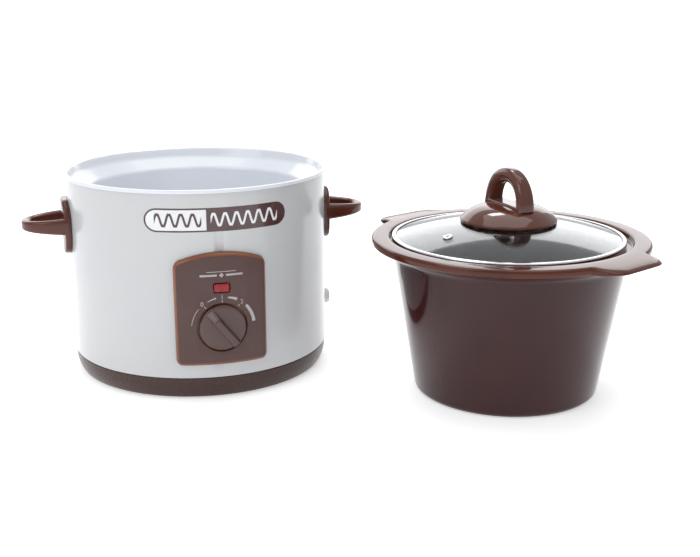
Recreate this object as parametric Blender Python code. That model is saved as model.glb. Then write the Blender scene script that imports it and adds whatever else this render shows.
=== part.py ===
"""Round slow cooker, unpacked: the heating base with its stoneware crock and glass lid standing beside it.

Metres, +Z up. The origin is the middle of the set's footprint, on the table. The heating base faces -Y,
its handles point along X, and the crock with its lid stands to the right of it and in front.
"""
from math import asin, atan2, cos, pi, radians, sin, sqrt, tan

import bmesh
import bpy
from mathutils import Matrix, Vector

# ---------------------------------------------------------------- driving dimensions
CLEAR = 0.0003          # gap kept between pieces that touch
FIT = 0.0004            # running gap round anything that turns or is screwed in
ROUND = 40              # facets round the large pieces
SMALL = 16              # facets round the small pieces

# heating base: well, shell, ring, all turned about the base's own axis
BASE_H = 0.1931         # height of the rim above the table
RIM_R = 0.1250          # outer radius of the folded rim
RIM_OVER = 0.0017       # how far the folded rim stands out past the wall
SHELL_WALL = 0.0008
SHELL_Z = 0.0212        # lower edge of the painted wall
RIM_FOLD = 0.0031       # how far the rim is folded down over the wall
WELL_GAUGE = 0.0010
BAND_STEP = 0.0065      # from the rim's edge in to the foot of the sloping band
BAND_H = 0.0085
MOUTH_STEP = 0.0190     # from the rim's edge in to the mouth of the well
LEDGE_H = 0.0190        # depth of the mouth under the rim
WELL_DRAFT = 0.0075     # how much narrower the well is at its floor
WELL_FLOOR_Z = 0.0530
WELL_CORNER = 0.0100

HEATER_UP = 0.0110      # heater's lower edge above the well's floor
HEATER_TALL = 0.0480
HEATER_THICK = 0.0025
BLANKET_THICK = 0.0035
BLANKET_EDGE = 0.0030   # how far the blanket reaches past the heater, up and down

RING_DRAW = 0.0062      # how much the ring draws in below the wall
RING_CLEARANCE = 0.0008 # ring above the table
RING_WALL = 0.0036
RING_UPSTAND = 0.0090   # how far the ring reaches up inside the wall
RING_UPSTAND_WALL = 0.0022
RING_FLANGE_W = 0.0185  # width of the inner flange
RING_FLANGE = 0.0025
COVER_GAUGE = 0.0010
COVER_Z = 0.0066

FOOT_R = 0.0075
FOOT_INSET = 0.0050     # middle of a foot, in from the flange's edge
STUD_R = 0.0025
STUD_HEAD_R = 0.0080
STUD_HEAD = 0.0020
NUT_R = 0.0046
NUT_H = 0.0035
WASHER_R = 0.0060
WASHER_H = 0.0010
TAG_GAUGE = 0.0008
TERMINAL_X = 0.0780
TERMINAL_SIZE = (0.0140, 0.0260, 0.0120)
FUSE_AT = (-0.0300, 0.0)
FUSE_R = 0.0020
FUSE_L = 0.0110
FUSE_CLIP_GAUGE = 0.0006
LEAD_R = 0.0011

# handles
HANDLE_OUT = 0.0425     # tip of the loop from the wall
LOOP_DOWN = 0.0473      # middle of the loop below the rim
PLATE_DOWN = 0.0240     # top of the back plate below the rim
PLATE_TALL = 0.0510
PLATE_HALF = 0.0260
PLATE_PROUD = 0.0060
PLATE_CORNER = 0.0170
LOOP_HALF = 0.0265      # half the loop's width
LOOP_BAR = 0.0080       # bar, measured along the reach
LOOP_TALL = 0.0160      # bar's height at the plate
LOOP_TIP = 0.0098       # and at the tip
HANDLE_SCREW_IN = 0.0090 # screws from the plate's lower and upper edges

# control panel, lamp and selector
PANEL_LOW = 0.0340
PANEL_ARCH = 0.0090     # rise of the arched top
PANEL_HALF = 0.0423
PANEL_CORNER = 0.0060
PANEL_PROUD = 0.0050
PANEL_SCREW_IN = 0.0123
PANEL_SCREW_DOWN = 0.0180
LENS_W = 0.0148
LENS_H = 0.0087
LENS_CORNER = 0.0018
LENS_ABOVE = 0.0140     # middle of the lens above the pocket
LENS_BELOW_TOP = 0.0320
LENS_PROUD = 0.0010
LAMP_R = 0.0025
LAMP_L = 0.0130
LAMP_HOLE_R = 0.0035
POCKET_ABOVE = 0.0130   # lowest point of the pocket above the panel's lower edge
POCKET_GAP = 0.0017     # round the knob
POCKET_DEPTH = 0.0037   # on the panel's middle line
KNOB_R = 0.0208
KNOB_H = 0.0048
KNOB_EDGE = 0.0043      # wall round the knob's hollow back
KNOB_HOLLOW = 0.0026
GRIP_W = 0.0090
GRIP_H = 0.0083
GRIP_ANGLE = 38.0       # degrees, grip turned to the left of upright
SHAFT_R = 0.0030
NECK_R = 0.0047
SWITCH_W = 0.0220
SWITCH_H = 0.0240
SWITCH_D = 0.0115
SWITCH_SETBACK = 0.0017
SELECTOR_NUT_R = 0.0078
SELECTOR_NUT_H = 0.0016

# cord entry, on the right-hand side
GLAND_Z = 0.0533
GLAND_R = 0.0080
GLAND_PROUD = 0.0080
GLAND_NECK_R = 0.0050
GLAND_NECK = 0.0085     # how far it reaches in behind the wall
CORD_HOLE_R = 0.0035
GLAND_NUT_R = 0.0092
GLAND_NUT_H = 0.0045

# screws
SCREW_R = 0.0017
SCREW_HEAD_R = 0.0034
SCREW_HEAD = 0.0020
SCREW_BITE = 0.0035     # length held in the plastic

# crock
STAND_X = 0.0083        # room left between the two rims, along X
STAND_Y = -0.1613       # crock's axis in front of the base's
SEATED_GAP = 0.0031     # between crock and well floor when the crock hangs by its rim
CROCK_OVER = 0.0005     # crock's rim past the base's rim, all round
CROCK_RIM = 0.0070      # thickness of the rim at its edge
WELL_PLAY = 0.0006      # crock's neck in the well's mouth
NECK_DOWN = 0.0160      # neck below the top of the rim
CROCK_DRAFT = 0.0208    # how much narrower the crock is at its foot
CROCK_WALL = 0.0065
CROCK_FLOOR = 0.0075
FOOT_RING = 0.0150      # width of the ring that the crock stands on
SEAT_DEPTH = 0.0055     # lid seat under the top of the rim
LIP_W = 0.0165          # rim's edge in to the lid seat
SEAT_W = 0.0085
LUG_ANGLE = -64.5       # degrees, direction of the front lug
LUG_OUT = 0.0180        # how far a lug reaches past the rim
LUG_HALF = 0.0360
LUG_CORNER = 0.0170
LUG_ROOT = 0.0080
LUG_THICK = 0.0050

# lid
LID_PLAY = 0.0040       # round the steel band, in the seat
LID_SHIFT = -0.0022     # where the loose lid lies in that play, along X
LID_BAND = 0.0005
LID_BAND_H = 0.0052
LID_BAND_LIP = 0.0036
GLASS = 0.0036
DOME_RISE = 0.0170
VENT_RADIUS = 0.0720
VENT_ANGLE = -160.0
VENT_R = 0.0045
VENT_BORE = 0.0015
LID_KNOB_ANGLE = -81.0  # degrees, direction in which the arch runs
SKIRT_R = 0.0440
SKIRT_GAP = 0.0011      # skirt edge above the glass
SKIRT_EDGE = 0.0022
SKIRT_RISE = 0.0150     # crown of the skirt above its edge
SKIRT_WALL = 0.0028
BOSS_R = 0.0080
ARCH_HALF = 0.0255      # half span, on the bar's middle line
ARCH_RISE = 0.0620      # top of the arch above the crock's rim
ARCH_BAR = 0.0110
ARCH_WIDTH = 0.0170
ARCH_WIDTH_TOP = 0.0140
RIB_TOP = 0.0015        # rib between the arch's feet, above the skirt's crown
RIB_INSET = 0.0006      # rib narrower than the feet, each side
WASHER_THICK = 0.0010
LID_SCREW_R = 0.0020
LID_SCREW_BITE = 0.0075
LID_HOLE_R = 0.0035

# ---------------------------------------------------------------- worked out from them
SHELL_R = RIM_R - RIM_OVER
SHELL_IN = SHELL_R - SHELL_WALL
SHELL_FLAT = SHELL_IN * cos(pi / ROUND)     # inside of the wall at the middle of a facet
BEHIND_WALL = SHELL_R - 0.0130              # start and end of what cuts right through wall and panel
BEFORE_PANEL = SHELL_R + 0.0250
BAND_R = RIM_R - BAND_STEP
LEDGE_R = RIM_R - MOUTH_STEP
WELL_FLOOR_R = LEDGE_R - WELL_DRAFT
HEATER_LOW = WELL_FLOOR_Z + HEATER_UP
HEATER_HIGH = HEATER_LOW + HEATER_TALL
RING_BOTTOM_R = SHELL_R - RING_DRAW
RING_FLANGE_R = RING_BOTTOM_R - RING_WALL - RING_FLANGE_W
FOOT_CIRCLE = RING_FLANGE_R - FOOT_INSET
HANDLE_REACH = SHELL_R + HANDLE_OUT
HANDLE_Z = BASE_H - LOOP_DOWN
PLATE_HIGH = BASE_H - PLATE_DOWN
PLATE_LOW = PLATE_HIGH - PLATE_TALL
PANEL_BACK = SHELL_R + CLEAR
PANEL_FACE = SHELL_R + PANEL_PROUD
POCKET_R = KNOB_R + POCKET_GAP
POCKET_FLOOR = PANEL_FACE - POCKET_DEPTH
SELECTOR_Z = PANEL_LOW + POCKET_ABOVE + POCKET_R
LENS_Z = SELECTOR_Z + POCKET_R + LENS_ABOVE
PANEL_TOP = LENS_Z + LENS_BELOW_TOP
PANEL_SIDE = PANEL_TOP - PANEL_ARCH
KNOB_BACK = POCKET_FLOOR + 2 * CLEAR
KNOB_FACE = KNOB_BACK + KNOB_H
CROCK_H = BASE_H - WELL_FLOOR_Z - SEATED_GAP + CROCK_RIM
CROCK_RIM_R = RIM_R + CROCK_OVER
CROCK_NECK_R = LEDGE_R - WELL_PLAY
CROCK_NECK_Z = CROCK_H - NECK_DOWN
CROCK_FOOT_R = CROCK_NECK_R - CROCK_DRAFT
SEAT_R = CROCK_RIM_R - LIP_W
SEAT_IN_R = SEAT_R - SEAT_W
SEAT_Z = CROCK_H - SEAT_DEPTH
LUG_REACH = CROCK_RIM_R + LUG_OUT
LID_R = SEAT_R - LID_PLAY
BAND_Z = SEAT_Z + CLEAR
DOME_EDGE_Z = BAND_Z + LID_BAND_H - LID_BAND - CLEAR
GLASS_R = LID_R - LID_BAND - CLEAR
ARCH_TOP = CROCK_H + ARCH_RISE
LUG_ACROSS = radians(LUG_ANGLE)
STAND_AT = (RIM_R + CROCK_RIM_R + STAND_X, STAND_Y)     # crock's axis from the base's
SET_RIGHT = STAND_AT[0] + CROCK_RIM_R
SET_FRONT = STAND_Y - abs(LUG_REACH * sin(LUG_ACROSS)) - (LUG_HALF - LUG_CORNER) * cos(LUG_ACROSS)
BASE_AT = Vector(((HANDLE_REACH - SET_RIGHT) / 2, -(RIM_R + SET_FRONT) / 2, 0))
CROCK_AT = BASE_AT + Vector((*STAND_AT, 0))


def well_radius(z):
    """Inner radius of the well's tapered wall at height z."""
    mouth = BASE_H - LEDGE_H
    share = (z - WELL_FLOOR_Z) / (mouth - WELL_FLOOR_Z)
    return WELL_FLOOR_R + share * (LEDGE_R - WELL_FLOOR_R)


def dome_z(r):
    """Height of the lid glass's upper face at radius r."""
    return DOME_EDGE_Z + DOME_RISE * (1 - (r / GLASS_R) ** 2)


# ---------------------------------------------------------------- shapes
def material(name, colour, roughness, metallic=0.0):
    found = bpy.data.materials.get(name)
    if found:
        return found
    made = bpy.data.materials.new(name)
    made.use_nodes = True
    shader = made.node_tree.nodes["Principled BSDF"]
    shader.inputs["Base Color"].default_value = (*colour, 1)
    shader.inputs["Roughness"].default_value = roughness
    shader.inputs["Metallic"].default_value = metallic
    return made


def finish(name, bm, parent, look, turn=(0, 0, 0), at=(0, 0, 0)):
    """Close a bmesh into a named object under its parent empty."""
    bmesh.ops.remove_doubles(bm, verts=bm.verts, dist=1e-6)
    bmesh.ops.recalc_face_normals(bm, faces=bm.faces)
    mesh = bpy.data.meshes.new(name)
    bm.to_mesh(mesh)
    bm.free()
    mesh.shade_smooth()
    mesh.set_sharp_from_angle(angle=radians(35))
    made = bpy.data.objects.new(name, mesh)
    bpy.context.scene.collection.objects.link(made)
    made.parent = parent
    made.rotation_euler = turn
    made.location = at
    if look:
        mesh.materials.append(look)
    return made


def rounded(corners, steps=3):
    """Outline through (x, y, radius) corners, each turned into an arc of its radius."""
    points = []
    for i, (x, y, radius) in enumerate(corners):
        corner = Vector((x, y))
        if radius <= 0:
            points.append(corner)
            continue
        to_last = (Vector(corners[i - 1][:2]) - corner).normalized()
        to_next = (Vector(corners[(i + 1) % len(corners)][:2]) - corner).normalized()
        half = to_last.angle(to_next) / 2
        centre = corner + (to_last + to_next).normalized() * radius / sin(half)
        start = (corner + to_last * radius / tan(half) - centre).normalized()
        end = (corner + to_next * radius / tan(half) - centre).normalized()
        points += [centre + radius * start.slerp(end, k / steps) for k in range(steps + 1)]
    return points


def sheet(path, gauge):
    """Closed outline of a sheet: its path, and the same path one gauge to the right."""
    back = []
    for i, point in enumerate(path):
        last = (point - path[i - 1]).normalized() if i else None
        following = (path[i + 1] - point).normalized() if i + 1 < len(path) else None
        along = ((last or following) + (following or last)).normalized()
        lean = along.dot(last or following)
        back.append(point + Vector((along.y, -along.x)) * gauge / lean)
    return list(path) + back[::-1]


def turned(name, outline, parent, look, steps=ROUND, turn=(0, 0, 0), at=(0, 0, 0)):
    """Closed body turned about Z from its (radius, height) outline."""
    bm = bmesh.new()
    verts = [bm.verts.new((p[0], 0, p[1])) for p in outline]
    on_axis = outline[0][0] == 0 and outline[-1][0] == 0
    pairs = list(zip(verts, verts[1:])) + ([] if on_axis else [(verts[-1], verts[0])])
    edges = [bm.edges.new(pair) for pair in pairs]
    bmesh.ops.spin(bm, geom=verts + edges, cent=(0, 0, 0), axis=(0, 0, 1), angle=2 * pi, steps=steps,
                   use_merge=True)
    return finish(name, bm, parent, look, turn, at)


def prism(name, outline, low, high, parent, look, turn=(0, 0, 0), at=(0, 0, 0)):
    """Flat (x, y) outline extruded from z = low to z = high."""
    bm = bmesh.new()
    face = bm.faces.new([bm.verts.new((p[0], p[1], low)) for p in outline])
    side = bmesh.ops.extrude_face_region(bm, geom=[face])["geom"]
    moved = [v for v in side if isinstance(v, bmesh.types.BMVert)]
    bmesh.ops.translate(bm, vec=(0, 0, high - low), verts=moved)
    return finish(name, bm, parent, look, turn, at)


def curved_slab(name, inner, outer, low, high, half_angle, parent, look, steps=16):
    """Piece of a cylinder wall, centred on -Y."""
    bm = bmesh.new()
    corners = [(inner, low), (outer, low), (outer, high), (inner, high)]
    face = bm.faces.new([bm.verts.new((0, -r, z)) for r, z in corners])
    bmesh.ops.rotate(bm, verts=bm.verts, cent=(0, 0, 0), matrix=Matrix.Rotation(-half_angle, 3, "Z"))
    bmesh.ops.spin(bm, geom=[face], cent=(0, 0, 0), axis=(0, 0, 1), angle=2 * half_angle, steps=steps,
                   use_duplicate=False)
    bmesh.ops.holes_fill(bm, edges=bm.edges)
    return finish(name, bm, parent, look)


def swept(name, path, across, sections, parent, look, turn=(0, 0, 0), at=(0, 0, 0)):
    """Bar along a flat path. Each section is an outline of (out of the curve, across the plane)."""
    bm = bmesh.new()
    rings = []
    for i, point in enumerate(path):
        along = (path[min(i + 1, len(path) - 1)] - path[max(i - 1, 0)]).normalized()
        out = along.cross(across)
        rings.append([bm.verts.new(point + out * u + across * v) for u, v in sections[i]])
    for low, high in zip(rings, rings[1:]):
        for k in range(len(low)):
            j = (k + 1) % len(low)
            bm.faces.new((low[k], low[j], high[j], high[k]))
    bm.faces.new(rings[0])
    bm.faces.new(rings[-1][::-1])
    return finish(name, bm, parent, look, turn, at)


def bar_section(thick, wide, corner):
    x, y = thick / 2, wide / 2
    return rounded([(x, y, corner), (-x, y, corner), (-x, -y, corner), (x, -y, corner)], steps=1)


def arch_path(half, rise, squareness, count, place):
    """Half of a superellipse from one foot to the other, put in space by place(across, up)."""
    points = []
    for i in range(count + 1):
        t = pi * i / count
        across = half * (1 if cos(t) >= 0 else -1) * abs(cos(t)) ** squareness
        points.append(place(across, rise * sin(t) ** squareness))
    return points


def boolean(target, tool, operation):
    step = target.modifiers.new(f"{operation.lower()}_{tool.name}", "BOOLEAN")
    step.operation = operation
    step.solver = "EXACT"
    step.object = tool
    tool.hide_render = True
    tool.display_type = "WIRE"


def axis(name, at, parent=None):
    empty = bpy.data.objects.new(name, None)
    empty.location = at
    empty.parent = parent
    bpy.context.scene.collection.objects.link(empty)
    return empty


FORWARD = (pi / 2, 0, 0)     # turns a piece's +Z to the base's front, -Y


def outward(angle):
    """Rotation that points a piece's +Z away from the axis, at an angle from +X."""
    return (0, pi / 2, angle)


def around(angle, radius, z):
    return Vector((radius * cos(angle), radius * sin(angle), z))


def plug(name, radius, low, high, parent, turn=(0, 0, 0), at=(0, 0, 0), steps=SMALL):
    """Plain round cutter."""
    outline = [(0, low), (radius, low), (radius, high), (0, high)]
    return turned(name, outline, parent, None, steps, turn, at)


# ---------------------------------------------------------------- finishes
def finishes():
    return {
        "paint": material("shell_paint", (0.72, 0.73, 0.74), 0.25),
        "enamel": material("well_enamel", (0.70, 0.75, 0.82), 0.22),
        "brown": material("brown_plastic", (0.12, 0.055, 0.04), 0.35),
        "panel": material("panel_plastic", (0.13, 0.075, 0.06), 0.50),
        "stone": material("glazed_stoneware", (0.055, 0.022, 0.018), 0.10),
        "glass": material("tempered_glass", (0.75, 0.80, 0.82), 0.03),
        "steel": material("stainless_steel", (0.62, 0.62, 0.63), 0.25, 1.0),
        "zinc": material("zinc_steel", (0.55, 0.56, 0.57), 0.40, 1.0),
        "rubber": material("foot_rubber", (0.03, 0.03, 0.03), 0.80),
        "red": material("red_lens", (0.45, 0.02, 0.04), 0.15),
        "nylon": material("white_nylon", (0.75, 0.75, 0.72), 0.50),
        "mica": material("heater_mica", (0.35, 0.30, 0.24), 0.60),
        "fibre": material("glass_fibre", (0.78, 0.76, 0.70), 0.90),
        "silicone": material("lid_silicone", (0.55, 0.55, 0.53), 0.60),
        "sleeve": material("lead_sleeve", (0.70, 0.68, 0.62), 0.60),
    }


# ---------------------------------------------------------------- heating base
def heating_well(base, look):
    path = rounded([
        (0, WELL_FLOOR_Z, 0),
        (WELL_FLOOR_R, WELL_FLOOR_Z, WELL_CORNER),
        (LEDGE_R, BASE_H - LEDGE_H, 0.004),
        (BAND_R, BASE_H - BAND_H, 0.004),
        (RIM_R - RIM_FOLD - 0.0008, BASE_H, 0.002),
        (RIM_R, BASE_H, 0.0012),
        (RIM_R, BASE_H - RIM_FOLD, 0),
    ], steps=1)
    return turned("heating_well", sheet(path, WELL_GAUGE), base, look["enamel"])


def housing_shell(base, look):
    top = BASE_H - WELL_GAUGE - 2 * CLEAR
    outline = [(SHELL_IN, SHELL_Z), (SHELL_R, SHELL_Z), (SHELL_R, top), (SHELL_IN, top)]
    shell = turned("housing_shell", outline, base, look["paint"])
    holes = (("neck", NECK_R + FIT, FORWARD, SELECTOR_Z), ("light", LAMP_HOLE_R, FORWARD, LENS_Z),
             ("cord", GLAND_NECK_R + FIT, outward(0), GLAND_Z))
    for name, radius, turn, z in holes:
        tool = plug(f"cut_shell_{name}", radius, BEHIND_WALL, BEFORE_PANEL, base, turn, (0, 0, z))
        boolean(shell, tool, "DIFFERENCE")
    return shell


def heater(base, look):
    """Heating band round the well, and the glass-fibre blanket wrapped round it."""
    def sleeve(name, low, high, gap, thick, finish_name):
        inner = [(well_radius(z) + WELL_GAUGE + gap, z) for z in (low, high)]
        outline = [*inner, (inner[1][0] + thick, high), (inner[0][0] + thick, low)]
        return turned(name, outline, base, look[finish_name])
    sleeve("heater_band", HEATER_LOW, HEATER_HIGH, FIT, HEATER_THICK, "mica")
    sleeve("insulation_blanket", HEATER_LOW - BLANKET_EDGE, HEATER_HIGH + BLANKET_EDGE,
           FIT + HEATER_THICK + CLEAR, BLANKET_THICK, "fibre")


def base_ring(base, look):
    ledge = SHELL_Z - CLEAR
    upstand_r = SHELL_IN - CLEAR
    flange_low = COVER_Z + COVER_GAUGE + CLEAR
    flange_high = flange_low + RING_FLANGE
    outline = rounded([
        (upstand_r, ledge + RING_UPSTAND, 0),
        (upstand_r, ledge, 0),
        (SHELL_R - CLEAR, ledge, 0),
        (SHELL_R - 4 * CLEAR, 0.45 * ledge, 0.020),
        (RING_BOTTOM_R, RING_CLEARANCE, 0.003),
        (RING_BOTTOM_R - RING_WALL, RING_CLEARANCE, 0),
        (RING_BOTTOM_R - RING_WALL, flange_low, 0),
        (RING_FLANGE_R, flange_low, 0),
        (RING_FLANGE_R, flange_high, 0),
        (RING_BOTTOM_R - RING_WALL, flange_high, 0),
        (upstand_r - RING_UPSTAND_WALL, 0.8 * ledge, 0),
        (upstand_r - RING_UPSTAND_WALL, ledge + RING_UPSTAND, 0),
    ], steps=1)
    return turned("base_ring", outline, base, look["brown"])


def bottom_cover(base, look):
    edge = RING_BOTTOM_R - RING_WALL - FIT
    top = COVER_Z + COVER_GAUGE
    hole = STUD_R + FIT
    outline = [(hole, COVER_Z), (edge, COVER_Z), (edge, top), (hole, top)]
    return turned("bottom_cover", outline, base, look["zinc"])


def feet(base, look):
    top = COVER_Z - CLEAR
    outline = rounded([(0, 0, 0), (FOOT_R - 0.001, 0, 0.001), (FOOT_R, top, 0), (0, top, 0)], steps=2)
    for i in range(4):
        where = around(radians(45 + 90 * i), FOOT_CIRCLE, 0)
        turned(f"foot_{i + 1}", outline, base, look["rubber"], SMALL, at=where)


def tie_stud(base, look):
    """Stud under the well that pulls well, wall, ring and cover together, with its nut and washer."""
    top = WELL_FLOOR_Z - WELL_GAUGE - CLEAR
    washer_top = COVER_Z - CLEAR
    nut_top = washer_top - WASHER_H - CLEAR
    end = nut_top - NUT_H - 0.0006
    under_head = top - STUD_HEAD
    outline = [(0, end), (STUD_R, end), (STUD_R, under_head), (STUD_HEAD_R, under_head), (STUD_HEAD_R, top),
               (0, top)]
    turned("tie_stud", outline, base, look["zinc"], SMALL)
    hole = STUD_R + FIT
    washer = [(hole, washer_top - WASHER_H), (WASHER_R, washer_top - WASHER_H),
              (WASHER_R, washer_top), (hole, washer_top)]
    turned("tie_washer", washer, base, look["zinc"], SMALL)
    nut = prism("tie_nut", hexagon(NUT_R), nut_top - NUT_H, nut_top, base, look["zinc"])
    boolean(nut, plug("cut_nut", hole, 0, nut_top + 0.002, base), "DIFFERENCE")


def hexagon(radius):
    return [(radius * cos(pi * k / 3), radius * sin(pi * k / 3)) for k in range(6)]


def earth_tag(base, look):
    low = COVER_Z + COVER_GAUGE + CLEAR
    tab = rounded([(-0.006, -0.006, 0.0055), (0.006, -0.006, 0.0055), (0.006, 0.004, 0.003),
                   (0.0032, 0.008, 0.002), (0.0032, 0.018, 0), (-0.0032, 0.018, 0),
                   (-0.0032, 0.008, 0.002), (-0.006, 0.004, 0.003)], steps=2)
    tag = prism("earth_tag", tab, low, low + TAG_GAUGE, base, look["zinc"])
    boolean(tag, plug("cut_earth_tag", STUD_R + FIT, 0, 0.02, base), "DIFFERENCE")


def box(name, size, low_centre, parent, look, corner=0.001, turn=(0, 0, 0)):
    """Upright block with rounded corners, standing on low_centre."""
    x, y = size[0] / 2, size[1] / 2
    outline = rounded([(x, y, corner), (-x, y, corner), (-x, -y, corner), (x, -y, corner)], steps=2)
    return prism(name, outline, 0, size[2], parent, look, turn, low_centre)


def terminal_block(base, look):
    floor = COVER_Z + COVER_GAUGE + CLEAR
    box("terminal_block", TERMINAL_SIZE, (TERMINAL_X, 0, floor), base, look["nylon"])


TERMINAL_X = 0.0780
TERMINAL_SIZE = (0.014, 0.026, 0.012)
FUSE_AT = (-0.030, 0.0)
FUSE_R = 0.0020
FUSE_L = 0.0110


def thermal_fuse(base, look):
    """Thermal fuse clipped up against the underside of the well."""
    under = WELL_FLOOR_Z - WELL_GAUGE - CLEAR
    middle = under - FUSE_R - 2 * CLEAR
    outline = rounded([(0, -FUSE_L / 2, 0), (FUSE_R, -FUSE_L / 2, 0.0006),
                       (FUSE_R, FUSE_L / 2, 0.0006), (0, FUSE_L / 2, 0)], steps=1)
    turned("thermal_fuse", outline, base, look["zinc"], 12, FORWARD, (*FUSE_AT, middle))
    wide = FUSE_R + 0.0010
    path = [Vector(p) for p in ((-wide - 0.005, 0), (-wide, 0), (-wide, -2 * FUSE_R - 0.0014),
                                (wide, -2 * FUSE_R - 0.0014), (wide, 0), (wide + 0.005, 0))]
    prism("fuse_clip", sheet(path, FUSE_CLIP_GAUGE), -0.0035, 0.0035, base, look["zinc"], FORWARD,
          (*FUSE_AT, under))


# ---------------------------------------------------------------- handles
def handle(side, base, look):
    """D-shaped loop on a curved back plate, moulded in one and screwed on from inside the wall."""
    turn = radians(-90 if side == "left" else 90)
    frame = axis(f"handle_{side}_place", (0, 0, 0), base)
    frame.rotation_euler = (0, 0, turn)
    front = SHELL_R + PLATE_PROUD
    spread = asin(PLATE_HALF / SHELL_R) + 0.06
    plate = curved_slab(f"handle_{side}", SHELL_R + CLEAR, front, PLATE_LOW - 0.002, PLATE_HIGH + 0.002,
                        spread, frame, look["brown"], 12)
    c = PLATE_CORNER
    sides = rounded([(-PLATE_HALF, PLATE_LOW, c), (PLATE_HALF, PLATE_LOW, c),
                     (PLATE_HALF, PLATE_HIGH, c), (-PLATE_HALF, PLATE_HIGH, c)])
    shape = prism(f"shape_handle_{side}", sides, BEHIND_WALL, BEFORE_PANEL, frame, None, FORWARD)
    boolean(plate, shape, "INTERSECT")
    root = sqrt(SHELL_R ** 2 - LOOP_HALF ** 2) + PLATE_PROUD / 2
    reach = HANDLE_REACH - LOOP_BAR / 2 - root
    path = arch_path(LOOP_HALF - LOOP_BAR / 2, reach, 0.92, 14,
                     lambda across, out: Vector((across, -root - out, HANDLE_Z)))
    sections = [bar_section(LOOP_BAR, LOOP_TALL + (LOOP_TIP - LOOP_TALL) * (-point.y - root) / reach, 0.0030)
                for point in path]
    loop = swept(f"loop_handle_{side}", path, Vector((0, 0, 1)), sections, frame, None)
    boolean(plate, loop, "UNION")
    for end, z in (("low", PLATE_LOW + HANDLE_SCREW_IN), ("high", PLATE_HIGH - HANDLE_SCREW_IN)):
        name = f"handle_{side}_screw_{end}"
        screw(name, Vector((0, 0, z)), frame, look, (plate, bpy.data.objects["housing_shell"]))
    return plate


def screw(name, at, frame, look, held_by):
    """Screw driven outwards along the frame's -Y, head inside the wall, and the hole that it needs."""
    seat = sqrt(SHELL_FLAT ** 2 - SCREW_HEAD_R ** 2) - CLEAR
    tip = PANEL_BACK + SCREW_BITE
    outline = [(0, seat - SCREW_HEAD), (SCREW_HEAD_R * 0.8, seat - SCREW_HEAD), (SCREW_HEAD_R, seat - 0.001),
               (SCREW_HEAD_R, seat), (SCREW_R, seat), (SCREW_R, tip - 0.001), (0, tip)]
    turned(name, outline, frame, look["zinc"], 12, FORWARD, at)
    hole = plug(f"cut_{name}", SCREW_R + FIT, seat - 0.001, tip + CLEAR, frame, FORWARD, at, 12)
    for piece in held_by:
        boolean(piece, hole, "DIFFERENCE")


# ---------------------------------------------------------------- control panel
def panel_outline():
    """Straight sides, round lower corners and an arched top between round shoulders."""
    rise = PANEL_TOP - PANEL_SIDE
    crown = (PANEL_HALF ** 2 + rise ** 2) / (2 * rise)
    c = PANEL_CORNER
    reach = asin((PANEL_HALF - c) / crown)
    arch = [(crown * sin(a), PANEL_TOP - crown + crown * cos(a), 0)
            for a in [reach * (1 - k / 5) for k in range(11)]]
    return rounded([(-PANEL_HALF, PANEL_LOW, c), (PANEL_HALF, PANEL_LOW, c), (PANEL_HALF, PANEL_SIDE, c),
                    *arch, (-PANEL_HALF, PANEL_SIDE, c)])


def control_panel(base, look):
    spread = asin(PANEL_HALF / SHELL_R) + 0.03
    panel = curved_slab("control_panel", PANEL_BACK, PANEL_FACE, PANEL_LOW - 0.002, PANEL_TOP + 0.002,
                        spread, base, look["panel"], 18)
    shape = prism("shape_panel", panel_outline(), BEHIND_WALL, BEFORE_PANEL, base, None, FORWARD)
    boolean(panel, shape, "INTERSECT")
    pocket = plug("cut_panel_pocket", POCKET_R, POCKET_FLOOR, BEFORE_PANEL, base, FORWARD,
                  (0, 0, SELECTOR_Z), 36)
    neck = plug("cut_panel_neck", NECK_R + FIT, BEHIND_WALL, BEFORE_PANEL, base, FORWARD, (0, 0, SELECTOR_Z))
    window = prism("cut_panel_window", lens_outline(FIT), BEHIND_WALL, BEFORE_PANEL, base, None, FORWARD,
                   (0, 0, LENS_Z))
    for tool in (window, pocket, neck):
        boolean(panel, tool, "DIFFERENCE")
    screw_x = PANEL_HALF - PANEL_SCREW_IN
    for side, x in (("left", -screw_x), ("right", screw_x)):
        place = axis(f"panel_screw_{side}_place", (0, 0, 0), base)
        place.rotation_euler = (0, 0, asin(x / SHELL_R))
        screw(f"panel_screw_{side}", Vector((0, 0, PANEL_TOP - PANEL_SCREW_DOWN)), place, look,
              (panel, bpy.data.objects["housing_shell"]))
    return panel


def lens_outline(grow):
    x, y = LENS_W / 2 + grow, LENS_H / 2 + grow
    c = LENS_CORNER + grow
    return rounded([(x, y, c), (-x, y, c), (-x, -y, c), (x, -y, c)])


def indicator(base, look):
    """Red lens in the panel, the neon lamp behind the wall, and the block that holds it."""
    prism("indicator_lens", lens_outline(0), PANEL_BACK + CLEAR, PANEL_FACE + LENS_PROUD, base,
          look["red"], FORWARD, (0, 0, LENS_Z))
    lamp_at = SHELL_FLAT - CLEAR - 2 * LAMP_R
    lamp = rounded([(0, -LAMP_L / 2, 0), (LAMP_R, -LAMP_L / 2, 0.001), (LAMP_R, LAMP_L / 2, 0.002),
                    (0, LAMP_L / 2, 0)], steps=2)
    turned("neon_lamp", lamp, base, look["glass"], 12, (0, pi / 2, 0), (0, -lamp_at, LENS_Z))
    back = lamp_at - LAMP_R - CLEAR
    box("lamp_holder", (0.016, 0.008, 0.0022), (0, -back + 0.0022, LENS_Z), base, look["nylon"], 0.001,
        FORWARD)


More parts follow.
